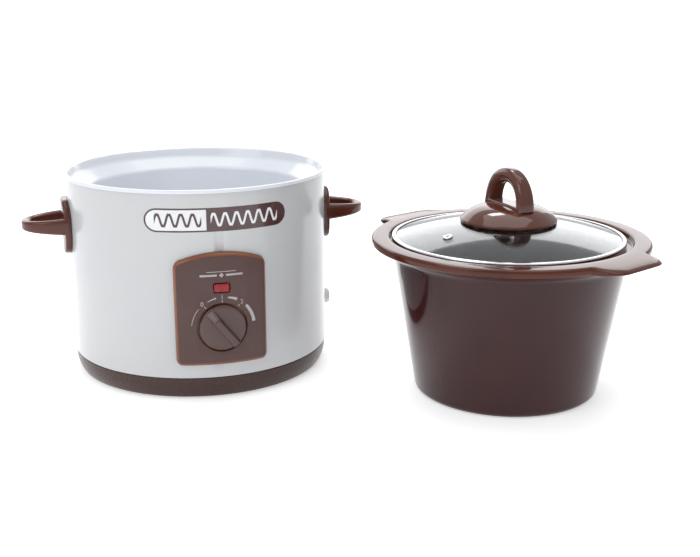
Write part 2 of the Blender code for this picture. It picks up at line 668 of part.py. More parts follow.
# ---------------------------------------------------------------- selector
def selector(base, look):
    """Switch behind the wall, its nut in the panel's pocket, and the shaft and knob that turn."""
    frame = axis("selector_axis", (0, 0, SELECTOR_Z), base)
    body_front = SHELL_FLAT - SWITCH_SETBACK
    switch = box("selector_switch", (SWITCH_W, SWITCH_H, SWITCH_D), (0, -(body_front - SWITCH_D), 0),
                 frame, look["nylon"], 0.0015, FORWARD)
    nut_low = POCKET_FLOOR + CLEAR
    nut_high = nut_low + SELECTOR_NUT_H
    neck_top = nut_high + CLEAR
    bore_floor = body_front - 0.0010
    boolean(switch, plug("neck_switch", NECK_R, body_front - 0.002, neck_top, frame, FORWARD), "UNION")
    boolean(switch, plug("cut_switch", SHAFT_R + FIT, bore_floor, neck_top + 0.01, frame, FORWARD),
            "DIFFERENCE")
    nut = prism("selector_nut", hexagon(SELECTOR_NUT_R), nut_low, nut_high, frame, look["zinc"], FORWARD)
    boolean(nut, plug("cut_selector_nut", NECK_R + CLEAR, nut_low - 0.01, nut_high + 0.01, frame, FORWARD),
            "DIFFERENCE")
    shaft_top = KNOB_FACE + 0.0025
    shaft = [(0, bore_floor + CLEAR), (SHAFT_R, bore_floor + CLEAR), (SHAFT_R, shaft_top - 0.0005),
             (SHAFT_R - 0.0005, shaft_top), (0, shaft_top)]
    turned("selector_shaft", shaft, frame, look["zinc"], SMALL, FORWARD)
    knob_outline = rounded([
        (0, KNOB_BACK + KNOB_HOLLOW, 0), (KNOB_R - KNOB_EDGE, KNOB_BACK + KNOB_HOLLOW, 0),
        (KNOB_R - KNOB_EDGE, KNOB_BACK, 0), (KNOB_R, KNOB_BACK, 0), (KNOB_R, KNOB_FACE, 0.0010),
        (0, KNOB_FACE, 0)], steps=2)
    knob = turned("selector_knob", knob_outline, frame, look["panel"], 32, FORWARD)
    length = sqrt((KNOB_R - 0.0006) ** 2 - (GRIP_W / 2) ** 2)
    half = GRIP_W / 2
    grip = rounded([(half, length, 0.002), (-half, length, 0.002), (-half, -length, 0.002),
                    (half, -length, 0.002)], steps=2)
    bar = prism("grip_knob", grip, KNOB_FACE - 0.001, KNOB_FACE + GRIP_H, frame, None,
                (pi / 2, radians(-GRIP_ANGLE), 0))
    boolean(knob, bar, "UNION")
    boolean(knob, plug("cut_knob", SHAFT_R + CLEAR, KNOB_BACK - 0.01, shaft_top + CLEAR, frame, FORWARD),
            "DIFFERENCE")


# ---------------------------------------------------------------- cord entry
def cord_entry(base, look):
    """Moulded cord bushing through the wall, with its nut inside. The hole runs right through."""
    frame = axis("gland_place", (0, 0, GLAND_Z), base)
    collar = SHELL_R + FIT
    end = SHELL_R + GLAND_PROUD
    inner = SHELL_IN - GLAND_NECK
    outline = rounded([
        (CORD_HOLE_R, inner, 0), (GLAND_NECK_R, inner, 0), (GLAND_NECK_R, collar, 0),
        (GLAND_R, collar, 0), (GLAND_R - 0.0005, end, 0.0015), (CORD_HOLE_R, end, 0)], steps=2)
    turned("cord_gland", outline, frame, look["nylon"], SMALL, outward(0))
    high = sqrt(SHELL_FLAT ** 2 - GLAND_NUT_R ** 2) - CLEAR
    low = high - GLAND_NUT_H
    nut = prism("gland_nut", hexagon(GLAND_NUT_R), low, high, frame, look["nylon"], outward(0))
    boolean(nut, plug("cut_gland_nut", GLAND_NECK_R + CLEAR, low - 0.01, high + 0.01, frame, outward(0)),
            "DIFFERENCE")


def smooth(points, steps=3):
    """Points along a smooth curve through the route's own points."""
    route = [Vector(p) for p in points]
    ends = [2 * route[0] - route[1], *route, 2 * route[-1] - route[-2]]
    made = []
    for a, b, c, d in zip(ends, ends[1:], ends[2:], ends[3:]):
        for k in range(steps):
            t = k / steps
            made.append(((2 * b) + (c - a) * t + (2 * a - 5 * b + 4 * c - d) * t * t
                         + (3 * b - a - 3 * c + d) * t ** 3) / 2)
    return made + [route[-1]]


def lead(name, route, base, look):
    """Sleeved wire inside the base."""
    curve = bpy.data.curves.new(name, "CURVE")
    curve.dimensions = "3D"
    curve.bevel_depth = LEAD_R
    curve.bevel_resolution = 2
    curve.use_fill_caps = True
    points = smooth(route)
    spline = curve.splines.new("POLY")
    spline.points.add(len(points) - 1)
    for point, place in zip(spline.points, points):
        point.co = (*place, 1)
    made = bpy.data.objects.new(name, curve)
    made.parent = base
    curve.materials.append(look["sleeve"])
    bpy.context.scene.collection.objects.link(made)


def leads(base, look):
    block_top = COVER_Z + COVER_GAUGE + CLEAR + TERMINAL_SIZE[2] + CLEAR + LEAD_R
    switch_under = SELECTOR_Z - SWITCH_H / 2 - 2 * CLEAR
    switch_out = SHELL_FLAT - SWITCH_SETBACK - SWITCH_D / 2
    heater_mid = well_radius(HEATER_LOW) + WELL_GAUGE + FIT + HEATER_THICK / 2
    heater_under = HEATER_LOW - BLANKET_EDGE - 2 * CLEAR
    x = TERMINAL_X
    lead("lead_feed", [(x - 0.004, -0.009, block_top), (x - 0.006, -0.020, 0.026), (0.058, -0.058, 0.030),
                       (0.030, -0.090, 0.034), (0.008, -switch_out, 0.046),
                       (0.006, -switch_out, switch_under)], base, look)
    lead("lead_heater", [(-0.006, -switch_out, switch_under), (-0.008, -switch_out + 0.002, 0.046),
                         (-0.020, -0.104, 0.042), around(radians(-118), heater_mid, 0.046),
                         around(radians(-124), heater_mid, heater_under)], base, look)
    lead("lead_return", [(x - 0.004, 0.009, block_top), (x - 0.004, 0.018, 0.027), (0.066, 0.050, 0.034),
                         around(radians(44), heater_mid - 0.002, 0.044),
                         around(radians(46), heater_mid, heater_under)], base, look)
    lead("lead_earth", [(x - 0.0095, 0.0, 0.0145), (0.050, 0.004, 0.0125), (0.030, 0.012, 0.0105),
                        (0.012, 0.0165, 0.0103), (0.0050, 0.0165, 0.0100)], base, look)


# ---------------------------------------------------------------- crock
def crock(empty, look):
    under = CROCK_H - CROCK_RIM
    taper = (CROCK_NECK_R - CROCK_FOOT_R) / CROCK_NECK_Z
    inner_top = CROCK_NECK_R - CROCK_WALL
    inner_low = CROCK_FOOT_R + taper * CROCK_FLOOR - CROCK_WALL
    outline = rounded([
        (0, 0.0010, 0), (CROCK_FOOT_R - FOOT_RING - 0.0010, 0.0010, 0), (CROCK_FOOT_R - FOOT_RING, 0, 0),
        (CROCK_FOOT_R - 0.0005, 0, 0.007),
        (CROCK_NECK_R, CROCK_NECK_Z, 0.006),
        (CROCK_RIM_R - 0.010, under - 0.0008, 0),
        (CROCK_RIM_R, under, 0.0030),
        (CROCK_RIM_R - 0.0003, CROCK_H, 0.0034),
        (SEAT_R + 0.0004, CROCK_H, 0.0015),
        (SEAT_R, SEAT_Z, 0.0010),
        (SEAT_IN_R, SEAT_Z, 0.0015),
        (inner_top, CROCK_NECK_Z - 0.002, 0.004),
        (inner_low, CROCK_FLOOR, 0.010),
        (0, CROCK_FLOOR, 0),
    ], steps=1)
    body = turned("crock", outline, empty, look["stone"])
    for i, angle in enumerate((LUG_ACROSS, LUG_ACROSS + pi)):
        boolean(body, lug(f"lug_{i + 1}", angle, empty), "UNION")
    return body


def lug(name, angle, empty):
    """Flat carrying tab that grows out of the rim."""
    root = sqrt((CROCK_RIM_R - 0.001) ** 2 - (LUG_HALF + LUG_ROOT) ** 2)
    inside = root - 0.006
    c = LUG_CORNER
    outline = rounded([
        (inside, LUG_HALF + LUG_ROOT, 0), (root + 0.004, LUG_HALF + 0.3 * LUG_ROOT, LUG_ROOT / 2),
        (LUG_REACH, LUG_HALF, c), (LUG_REACH, -LUG_HALF, c),
        (root + 0.004, -LUG_HALF - 0.3 * LUG_ROOT, LUG_ROOT / 2), (inside, -LUG_HALF - LUG_ROOT, 0),
    ], steps=4)
    top = CROCK_H - 0.0006
    return prism(name, outline, top - LUG_THICK, top, empty, None, (0, 0, angle))


# ---------------------------------------------------------------- lid
def lid_glass(lid, look):
    radii = [LID_HOLE_R + (GLASS_R - LID_HOLE_R) * k / 6 for k in range(7)]
    path = [Vector((r, dome_z(r))) for r in radii]
    glass = turned("lid_glass", sheet(path, GLASS), lid, look["glass"])
    slope = atan2(2 * DOME_RISE * VENT_RADIUS, GLASS_R ** 2)
    place = axis("vent_place", around(radians(VENT_ANGLE), VENT_RADIUS, dome_z(VENT_RADIUS)), lid)
    place.rotation_euler = (0, slope, radians(VENT_ANGLE))
    neck = VENT_BORE + 0.0010
    boolean(glass, plug("cut_vent", neck + CLEAR, -0.01, 0.01, place), "DIFFERENCE")
    low = -GLASS - CLEAR
    outline = [(VENT_BORE, low - 0.0006), (VENT_R - 0.0008, low - 0.0006), (VENT_R - 0.0008, low),
               (neck, low), (neck, 2 * CLEAR), (VENT_R, 2 * CLEAR), (VENT_R - 0.0006, 0.0014),
               (VENT_BORE, 0.0014)]
    turned("vent_grommet", outline, place, look["steel"], SMALL)


def lid_band(lid, look):
    """Steel band rolled round the edge of the glass, open towards the middle."""
    low = BAND_Z
    high = BAND_Z + LID_BAND_H
    inner = LID_R - LID_BAND_LIP
    wall = LID_BAND
    lip_top = dome_z(inner) + CLEAR
    outline = [(inner, low), (LID_R, low), (LID_R, high - 0.0004), (LID_R - 0.0004, high),
               (inner, lip_top + wall), (inner, lip_top), (LID_R - wall, high - wall),
               (LID_R - wall, low + wall), (inner, low + wall)]
    turned("lid_rim_band", outline, lid, look["steel"])


def lid_knob(lid, look):
    """Glossy knob: a wide skirt on the glass, a rib across it and a tall arch to lift by."""
    edge = dome_z(SKIRT_R) + SKIRT_GAP
    crown = edge + SKIRT_RISE
    washer_low = dome_z(0) + CLEAR
    boss_low = washer_low + WASHER_THICK + CLEAR
    outline = rounded([
        (0, boss_low, 0), (BOSS_R, boss_low, 0), (BOSS_R, crown - SKIRT_WALL - 0.0004, 0.001),
        (0.6 * SKIRT_R, crown - SKIRT_WALL - 0.0028, 0.02), (SKIRT_R - SKIRT_WALL, edge, 0),
        (SKIRT_R - 0.0003, edge, 0.0006), (SKIRT_R, edge + SKIRT_EDGE, 0.0010),
        (0.62 * SKIRT_R, crown - 0.0016, 0.03), (0.25 * SKIRT_R, crown, 0.01), (0, crown, 0)], steps=2)
    knob = turned("lid_knob", outline, lid, look["brown"], 32)
    across = radians(LID_KNOB_ANGLE)
    x, y = ARCH_HALF + 0.003, ARCH_WIDTH / 2 - RIB_INSET
    rib = rounded([(x, y, 0.003), (-x, y, 0.003), (-x, -y, 0.003), (x, -y, 0.003)], steps=2)
    boolean(knob, prism("rib_lid_knob", rib, crown - 0.0030, crown + RIB_TOP, lid, None, (0, 0, across)),
            "UNION")
    foot = crown - 0.0022
    rise = ARCH_TOP - ARCH_BAR / 2 - foot
    path = arch_path(ARCH_HALF, rise, 0.92, 14, lambda along, up: Vector((along, 0, foot + up)))
    sections = []
    for i in range(len(path)):
        lift = sin(pi * i / (len(path) - 1))
        sections.append(bar_section(ARCH_BAR, ARCH_WIDTH + (ARCH_WIDTH_TOP - ARCH_WIDTH) * lift, 0.0038))
    arch = swept("arch_lid_knob", path, Vector((0, -1, 0)), sections, lid, None, (0, 0, across))
    boolean(knob, arch, "UNION")
    tip = boss_low + LID_SCREW_BITE
    boolean(knob, plug("cut_lid_knob", LID_SCREW_R + CLEAR, boss_low - 0.01, tip, lid), "DIFFERENCE")
    knob_fixing(lid, look, washer_low, tip - CLEAR)


def knob_fixing(lid, look, washer_low, tip):
    hole = LID_SCREW_R + CLEAR
    upper = [(hole, washer_low), (BOSS_R, washer_low), (BOSS_R, washer_low + WASHER_THICK),
             (hole, washer_low + WASHER_THICK)]
    turned("knob_washer", upper, lid, look["silicone"], SMALL)
    under = dome_z(LID_HOLE_R) - GLASS - 3 * CLEAR
    low = under - WASHER_THICK
    lower = [(hole, low), (0.0075, low), (0.0075, under), (hole, under)]
    turned("knob_washer_under", lower, lid, look["silicone"], SMALL)
    head = low - CLEAR
    outline = [(0, head - 0.0024), (0.0036, head - 0.0022), (0.0048, head - 0.0012), (0.0048, head),
               (LID_SCREW_R, head), (LID_SCREW_R, tip - 0.001), (0, tip)]
    turned("knob_screw", outline, lid, look["steel"], SMALL)


# ---------------------------------------------------------------- assembly
def build():
    for old in list(bpy.data.objects):
        bpy.data.objects.remove(old, do_unlink=True)
    look = finishes()
    base = axis("base_axis", BASE_AT)
    heating_well(base, look)
    housing_shell(base, look)
    heater(base, look)
    base_ring(base, look)
    bottom_cover(base, look)
    feet(base, look)
    tie_stud(base, look)
    earth_tag(base, look)
    terminal_block(base, look)
    thermal_fuse(base, look)
    for side in ("left", "right"):
        handle(side, base, look)
    control_panel(base, look)
    indicator(base, look)
    selector(base, look)
    cord_entry(base, look)
    leads(base, look)
    crock_axis = axis("crock_axis", CROCK_AT)
    crock(crock_axis, look)
    lid = axis("lid_axis", (LID_SHIFT, 0, 0), crock_axis)
    lid_glass(lid, look)
    lid_band(lid, look)
    lid_knob(lid, look)


build()
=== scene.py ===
"""Round slow cooker, unpacked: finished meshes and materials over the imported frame.

Metres, +Z up. The heating base faces -Y, and the crock with its lid stands to the right of it and in front.
"""
from math import asin, atan2, cos, exp, log, pi, radians, sin, sqrt

import bmesh
import bpy
from mathutils import Matrix, Vector


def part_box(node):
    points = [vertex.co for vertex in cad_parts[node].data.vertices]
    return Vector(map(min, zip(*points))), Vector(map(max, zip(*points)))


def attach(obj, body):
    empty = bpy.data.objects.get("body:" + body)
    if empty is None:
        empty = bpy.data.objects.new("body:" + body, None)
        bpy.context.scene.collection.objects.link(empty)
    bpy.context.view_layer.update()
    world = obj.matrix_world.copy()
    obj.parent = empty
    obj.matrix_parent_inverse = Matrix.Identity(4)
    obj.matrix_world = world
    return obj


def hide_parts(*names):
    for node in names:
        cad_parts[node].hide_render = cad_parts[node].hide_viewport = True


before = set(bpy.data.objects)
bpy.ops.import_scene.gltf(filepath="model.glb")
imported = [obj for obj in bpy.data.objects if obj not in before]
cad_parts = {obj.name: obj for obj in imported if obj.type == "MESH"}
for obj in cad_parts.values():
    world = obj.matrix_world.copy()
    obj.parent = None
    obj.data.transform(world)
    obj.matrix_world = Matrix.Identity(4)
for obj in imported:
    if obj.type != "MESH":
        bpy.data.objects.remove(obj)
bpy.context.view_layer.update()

# ---------------------------------------------------------------- the room and the camera
# A pale floor under soft boxes, seen from in front, a little to the left and above. What belongs to the
# heating base is placed from the well's axis, the crock's from its own, and the lid's from its band.


def axis_of(node):
    """Where a round node's own upright axis meets the table."""
    low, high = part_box(node)
    return Vector(((low.x + high.x) / 2, (low.y + high.y) / 2, 0))


base_at = axis_of("heating_well")
crock_at = axis_of("crock")
lens = bpy.data.cameras.new("camera")
lens.lens = 57.4
lens.clip_start = 0.05
camera = bpy.data.objects.new("camera", lens)
camera.location = base_at + Vector((-0.1552, -1.0667, 0.3735))
camera.rotation_euler = (radians(90 - 15.33), 0, radians(-16.2))
bpy.context.scene.collection.objects.link(camera)
bpy.context.scene.camera = camera
bpy.context.scene.view_settings.view_transform = "Standard"


def new_material(name, roughness, metallic=0.0):
    """A node material, its tree and its Principled shader."""
    made = bpy.data.materials.new(name)
    made.use_nodes = True
    shader = made.node_tree.nodes["Principled BSDF"]
    shader.inputs["Roughness"].default_value = roughness
    shader.inputs["Metallic"].default_value = metallic
    return made, made.node_tree, shader


def soft_box(name, place, aim, size, power, tint=(1, 1, 1)):
    light = bpy.data.lights.new(name, "AREA")
    light.shape = "RECTANGLE"
    light.size, light.size_y = size
    light.energy = power
    light.color = tint
    lamp = bpy.data.objects.new(name, light)
    lamp.location = place
    lamp.rotation_euler = (Vector(aim) - Vector(place)).to_track_quat("-Z", "Y").to_euler()
    bpy.context.scene.collection.objects.link(lamp)


middle = (base_at + crock_at) / 2 + Vector((0, 0, 0.10))
soft_box("box_over", (0.10, 0.10, 1.60), middle, (1.6, 1.2), 9)
soft_box("box_left", (-1.45, -0.66, 1.35), middle, (1.1, 1.1), 7)
soft_box("box_window", (0.22, 0.95, 1.75), crock_at, (0.46, 0.34), 6)
soft_box("box_back", (0.15, 2.20, 1.02), middle, (4.2, 1.3), 27)

world = bpy.data.worlds.new("room")
world.use_nodes = True
world.node_tree.nodes["Background"].inputs["Color"].default_value = (0.96, 0.975, 1.0, 1)
world.node_tree.nodes["Background"].inputs["Strength"].default_value = 0.68
bpy.context.scene.world = world

floor_mesh = bmesh.new()
bmesh.ops.create_grid(floor_mesh, x_segments=1, y_segments=1, size=30)
floor_data = bpy.data.meshes.new("floor")
floor_mesh.to_mesh(floor_data)
floor = bpy.data.objects.new("floor", floor_data)
bpy.context.scene.collection.objects.link(floor)
floor_paper, floor_tree, floor_shader = new_material("floor_paper", 0.75)
paper_grain = floor_tree.nodes.new("ShaderNodeTexNoise")
paper_grain.inputs["Scale"].default_value = 60
paper_tone = floor_tree.nodes.new("ShaderNodeMix")
paper_tone.data_type = "RGBA"
paper_at = floor_tree.nodes.new("ShaderNodeTexCoord")
floor_tree.links.new(paper_at.outputs["Object"], paper_grain.inputs["Vector"])
paper_tone.inputs["A"].default_value = (0.93, 0.935, 0.945, 1)
paper_tone.inputs["B"].default_value = (0.95, 0.955, 0.965, 1)
floor_tree.links.new(paper_grain.outputs["Fac"], paper_tone.inputs["Factor"])
floor_tree.links.new(paper_tone.outputs["Result"], floor_shader.inputs["Base Color"])
floor_shader.inputs["Emission Color"].default_value = (1, 1, 1, 1)
floor_shader.inputs["Emission Strength"].default_value = 0.46
floor_data.materials.append(floor_paper)

# ---------------------------------------------------------------- heating well
# The inner pot of the base: enamelled sheet steel, drawn to a flat-bottomed bowl, with a ledge, a sloping
# band above it, and its edge rolled out and down over the wall to hold it.
STEEL = 0.0010
GAP = 0.0003        # between pieces that rest on each other
ROUNDS = 160
well_low, well_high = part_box("heating_well")
rim_radius = (well_high.x - well_low.x) / 2
rim_top = well_high.z
well_floor = well_low.z + STEEL


def eased(bm, geom, size, affect, segments):
    """Rounds the corners of a flat outline ("VERTICES") or the edges of a body ("EDGES")."""
    bmesh.ops.bevel(bm, geom=geom, offset=size, offset_type="OFFSET", affect=affect, segments=segments,
                    profile=0.5, material=-1)


def spun(corners, steps=ROUNDS, closed=False):
    """Round body spun from a wire of (radius, height, corner) points, each corner eased by its own size."""
    bm = bmesh.new()
    verts = [bm.verts.new((r, 0, z)) for r, z, _ in corners]
    pairs = list(zip(verts, verts[1:])) + ([(verts[-1], verts[0])] if closed else [])
    for pair in pairs:
        bm.edges.new(pair)
    for vert, (_, _, ease) in zip(verts, corners):
        if ease:
            eased(bm, [vert], ease, "VERTICES", 5)
    bmesh.ops.spin(bm, geom=bm.verts[:] + bm.edges[:], cent=(0, 0, 0), axis=(0, 0, 1), angle=2 * pi,
                   steps=steps, use_merge=True)
    bmesh.ops.remove_doubles(bm, verts=bm.verts, dist=1e-6)
    bmesh.ops.recalc_face_normals(bm, faces=bm.faces)
    return bm


def thicken(bm, gauge, seen_side):
    """Gives a spun skin its gauge, behind the face that looks the given way at the given place."""
    place, way = seen_side
    nearest = min(bm.faces, key=lambda f: (f.calc_center_median() - Vector(place)).length)
    if nearest.normal.dot(Vector(way)) < 0:
        bmesh.ops.reverse_faces(bm, faces=bm.faces)
    bmesh.ops.solidify(bm, geom=bm.faces[:], thickness=gauge)
    bmesh.ops.recalc_face_normals(bm, faces=bm.faces)


def piece(name, bm, look=None, body=None, at=None, sharp=40):
    """Makes the finished object, with its place in its mesh, and lets it ride on its body, if any."""
    if at is not None:
        bmesh.ops.translate(bm, verts=bm.verts, vec=at)
    mesh = bpy.data.meshes.new(name)
    bm.to_mesh(mesh)
    bm.free()
    mesh.shade_smooth()
    mesh.set_sharp_from_angle(angle=radians(sharp))
    made = bpy.data.objects.new(name, mesh)
    bpy.context.scene.collection.objects.link(made)
    if look:
        mesh.materials.append(look)
    if body:
        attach(made, body)
    return made


def new_group(name, numbers, colours, gives):
    """A shader node group with number and colour inputs, and one output."""
    tree = bpy.data.node_groups.new(name, "ShaderNodeTree")
    for label, value in numbers.items():
        tree.interface.new_socket(label, in_out="INPUT", socket_type="NodeSocketFloat").default_value = value
    for label in colours:
        tree.interface.new_socket(label, in_out="INPUT", socket_type="NodeSocketColor")
    kind = "NodeSocketColor" if gives == "Colour" else "NodeSocketFloat"
    tree.interface.new_socket(gives, in_out="OUTPUT", socket_type=kind)
    return tree, tree.nodes.new("NodeGroupInput"), tree.nodes.new("NodeGroupOutput")


def noise_in(tree, source, scale, detail, vector=None):
    """Noise on object coordinates whose scale comes from a socket of the group."""
    grain = tree.nodes.new("ShaderNodeTexNoise")
    grain.inputs["Detail"].default_value = detail
    if vector is None:
        vector = tree.nodes.new("ShaderNodeTexCoord").outputs["Object"]
    tree.links.new(vector, grain.inputs["Vector"])
    tree.links.new(source.outputs[scale], grain.inputs["Scale"])
    return grain.outputs["Fac"]


def blended(tree, share, first, second):
    """Colour that goes from the first to the second by a share."""
    mix = tree.nodes.new("ShaderNodeMix")
    mix.data_type = "RGBA"
    tree.links.new(share, mix.inputs["Factor"])
    tree.links.new(first, mix.inputs["A"])
    tree.links.new(second, mix.inputs["B"])
    return mix.outputs["Result"]


# Colour that drifts slowly from one shade to the other, as fired or moulded colour does.
drift, drift_in, drift_out = new_group("drift", {"Scale": 12}, ("Shade", "Tint"), "Colour")
drift_fac = drift.nodes.new("ShaderNodeMapRange")
drift_fac.inputs["From Min"].default_value = 0.35
drift_fac.inputs["From Max"].default_value = 0.65
drift.links.new(noise_in(drift, drift_in, "Scale", 3), drift_fac.inputs["Value"])
drift_mix = blended(drift, drift_fac.outputs["Result"], drift_in.outputs["Shade"], drift_in.outputs["Tint"])
drift.links.new(drift_mix, drift_out.inputs["Colour"])

# Roughness with wiped and handled patches: a broad smear with fine hairlines in it.
handled, handled_in, handled_out = new_group(
    "handled", {"Polished": 0.1, "Dull": 0.3, "Scale": 20, "Hairlines": 300}, (), "Roughness")
smear = noise_in(handled, handled_in, "Scale", 5)
hairs = noise_in(handled, handled_in, "Hairlines", 2)
both = handled.nodes.new("ShaderNodeMath")
both.operation = "MULTIPLY"
handled.links.new(smear, both.inputs[0])
handled.links.new(hairs, both.inputs[1])
spread = handled.nodes.new("ShaderNodeMapRange")
spread.inputs["From Min"].default_value = 0.12
spread.inputs["From Max"].default_value = 0.42
handled.links.new(both.outputs["Value"], spread.inputs["Value"])
handled.links.new(handled_in.outputs["Polished"], spread.inputs["To Min"])
handled.links.new(handled_in.outputs["Dull"], spread.inputs["To Max"])
handled.links.new(spread.outputs["Result"], handled_out.inputs["Roughness"])

# Height of a fine surface: broad waviness plus small pits, both from noise.
relief, relief_in, relief_out = new_group("relief", {"Wave": 40, "Pit": 500, "Pits": 0.4}, (), "Height")
pits = relief.nodes.new("ShaderNodeMath")
pits.operation = "MULTIPLY_ADD"
relief.links.new(noise_in(relief, relief_in, "Pit", 2), pits.inputs[0])
relief.links.new(relief_in.outputs["Pits"], pits.inputs[1])
relief.links.new(noise_in(relief, relief_in, "Wave", 1), pits.inputs[2])
relief.links.new(pits.outputs["Value"], relief_out.inputs["Height"])


def place_group(tree, group, **values):
    node = tree.nodes.new("ShaderNodeGroup")
    node.node_tree = group
    for label, value in values.items():
        node.inputs[label].default_value = value
    return node


def tones(tree, scale, shade, tint):
    """Colour that drifts between two shades."""
    return place_group(tree, drift, Scale=scale, Shade=(*shade, 1), Tint=(*tint, 1)).outputs["Colour"]


def add_wear(tree, shader, polished, dull, smear, hairlines):
    """Handled roughness, from polished to dull."""
    rough = place_group(tree, handled, Polished=polished, Dull=dull, Scale=smear, Hairlines=hairlines)
    tree.links.new(rough.outputs["Roughness"], shader.inputs["Roughness"])


def add_relief(tree, shader, wave, pit, pit_share, strength, depth):
    """Fine relief, as a bump of the surface."""
    height = place_group(tree, relief, Wave=wave, Pit=pit, Pits=pit_share)
    bump = tree.nodes.new("ShaderNodeBump")
    bump.inputs["Strength"].default_value = strength
    bump.inputs["Distance"].default_value = depth
    tree.links.new(height.outputs["Height"], bump.inputs["Height"])
    tree.links.new(bump.outputs["Normal"], shader.inputs["Normal"])


def finish(name, shade, tint, polished, dull, metallic=0.0, drift_scale=12, smear=20, hairlines=300,
           wave=40, pit=500, pit_share=0.4, depth=0.00002, coat=0.0, coat_rough=0.05, shine=0.5):
    """A complete surface: drifting colour, handled roughness and fine relief."""
    made, tree, shader = new_material(name, dull, metallic)
    tree.links.new(tones(tree, drift_scale, shade, tint), shader.inputs["Base Color"])
    add_wear(tree, shader, polished, dull, smear, hairlines)
    add_relief(tree, shader, wave, pit, pit_share, 0.6, depth)
    shader.inputs["Specular IOR Level"].default_value = shine
    shader.inputs["Coat Weight"].default_value = coat
    shader.inputs["Coat Roughness"].default_value = coat_rough
    return made


well = spun([
    (0, well_floor, 0),
    (0.0985, well_floor, 0.0090),
    (0.1060, rim_top - 0.0190, 0.0024),
    (0.1185, rim_top - 0.0085, 0.0026),
    (rim_radius - 0.0039, rim_top, 0.0016),
    (rim_radius, rim_top, 0.0011),
    (rim_radius, rim_top - 0.0031, 0),
])
thicken(well, STEEL, ((0, 0, well_floor), (0, 0, 1)))
well_enamel = finish("well_enamel", (0.70, 0.725, 0.77), (0.735, 0.76, 0.80), 0.10, 0.24, wave=55, pit=700,
                     depth=0.00003, coat=0.2)
well_piece = piece("enamelled_well", well, well_enamel, "heater_base", base_at)
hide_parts("heating_well")

# ---------------------------------------------------------------- housing shell
# The outer wall: steel sheet rolled into a round, painted light grey and baked, its lower edge turned in
# over the ring. It is pierced for the selector's neck, the lamp and the cord's bushing.
shell_low, shell_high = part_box("housing_shell")
shell_radius = (shell_high.x - shell_low.x) / 2
SHELL_GAUGE = 0.0008
SELECTOR_Z, LENS_Z, GLAND_Z = (sum(c.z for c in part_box(node)) / 2
                               for node in ("selector_knob", "indicator_lens", "cord_gland"))
NECK_HOLE = 0.0051
LAMP_HOLE = 0.0035
CORD_HOLE = 0.0054
THROUGH_WALL = (0.110, 0.130)
TO_FRONT = Matrix.Rotation(pi / 2, 4, "X")
TO_RIGHT = Matrix.Rotation(pi / 2, 4, "Y")
TO_SIDE = Matrix(((0, 0, 1, 0), (1, 0, 0, 0), (0, 1, 0, 0), (0, 0, 0, 1)))


def settle(made):
    """Works a piece's modifiers into its mesh."""
    seen = made.evaluated_get(bpy.context.evaluated_depsgraph_get())
    mesh = bpy.data.meshes.new_from_object(seen)
    made.modifiers.clear()
    made.data = mesh


def carve(made, tools, operation="DIFFERENCE"):
    """Cuts or joins loose tool objects into a piece, then throws the tools away."""
    for tool in tools:
        step = made.modifiers.new(tool.name, "BOOLEAN")
        step.operation = operation
        step.solver = "EXACT"
        step.object = tool
    settle(made)
    for tool in tools:
        bpy.data.objects.remove(tool, do_unlink=True)


def drill(name, radius, low, high, turn=Matrix.Identity(4), at=Vector((0, 0, 0)), steps=48):
    """A loose round tool along a turned +Z."""
    bm = spun([(0, low, 0), (radius, low, 0), (radius, high, 0), (0, high, 0)], steps)
    bmesh.ops.transform(bm, matrix=Matrix.Translation(at) @ turn, verts=bm.verts)
    return piece(name, bm)


shell = spun([
    (shell_radius - 0.0007, shell_low.z, 0),
    (shell_radius, shell_low.z + 0.0007, 0.0004),
    (shell_radius, shell_high.z - 0.0004, 0),
    (shell_radius, shell_high.z, 0),
])
thicken(shell, SHELL_GAUGE, ((0, -shell_radius, 0.1), (0, -1, 0)))
shell_paint = finish("shell_paint", (0.520, 0.528, 0.536), (0.545, 0.549, 0.553), 0.14, 0.26, drift_scale=7,
                     wave=30, pit=650, pit_share=0.25, depth=0.00003, coat=0.1, coat_rough=0.04)
shell_piece = piece("painted_wall", shell, shell_paint, "heater_base", base_at)
carve(shell_piece, [
    drill("hole_neck", NECK_HOLE, *THROUGH_WALL, TO_FRONT, base_at + Vector((0, 0, SELECTOR_Z))),
    drill("hole_lamp", LAMP_HOLE, *THROUGH_WALL, TO_FRONT, base_at + Vector((0, 0, LENS_Z))),
    drill("hole_cord", CORD_HOLE, *THROUGH_WALL, TO_RIGHT, base_at + Vector((0, 0, GLAND_Z))),
])
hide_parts("housing_shell")

# ---------------------------------------------------------------- base ring
# A dark brown plastic ring moulded in one: it takes the wall on its ledge, draws in towards the table and
# carries the bottom cover and the feet on its inner flange.
ring_low, ring_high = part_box("base_ring")
ledge = shell_low.z - GAP
cover_low, cover_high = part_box("bottom_cover")
RING_FOOT = 0.1171
RING_WALL = 0.0036
FLANGE_R = 0.0950       # inner edge of the flange
FLANGE_THICK = 0.0025
UPSTAND_WALL = 0.0022
upstand = shell_radius - SHELL_GAUGE - GAP
flange = cover_high.z + GAP
ring = spun([
    (upstand, ring_high.z, 0.0005),
    (upstand, ledge, 0),
    (shell_radius - GAP, ledge, 0.0006),
    (shell_radius - 0.0012, 0.45 * ledge, 0.0060),
    (RING_FOOT, ring_low.z, 0.0022),
    (RING_FOOT - RING_WALL, ring_low.z, 0.0008),
    (RING_FOOT - RING_WALL, flange, 0),
    (FLANGE_R, flange, 0),
    (FLANGE_R, flange + FLANGE_THICK, 0),
    (RING_FOOT - RING_WALL, flange + FLANGE_THICK, 0),
    (upstand - UPSTAND_WALL, 0.8 * ledge, 0),
    (upstand - UPSTAND_WALL, ring_high.z, 0.0005),
], closed=True)
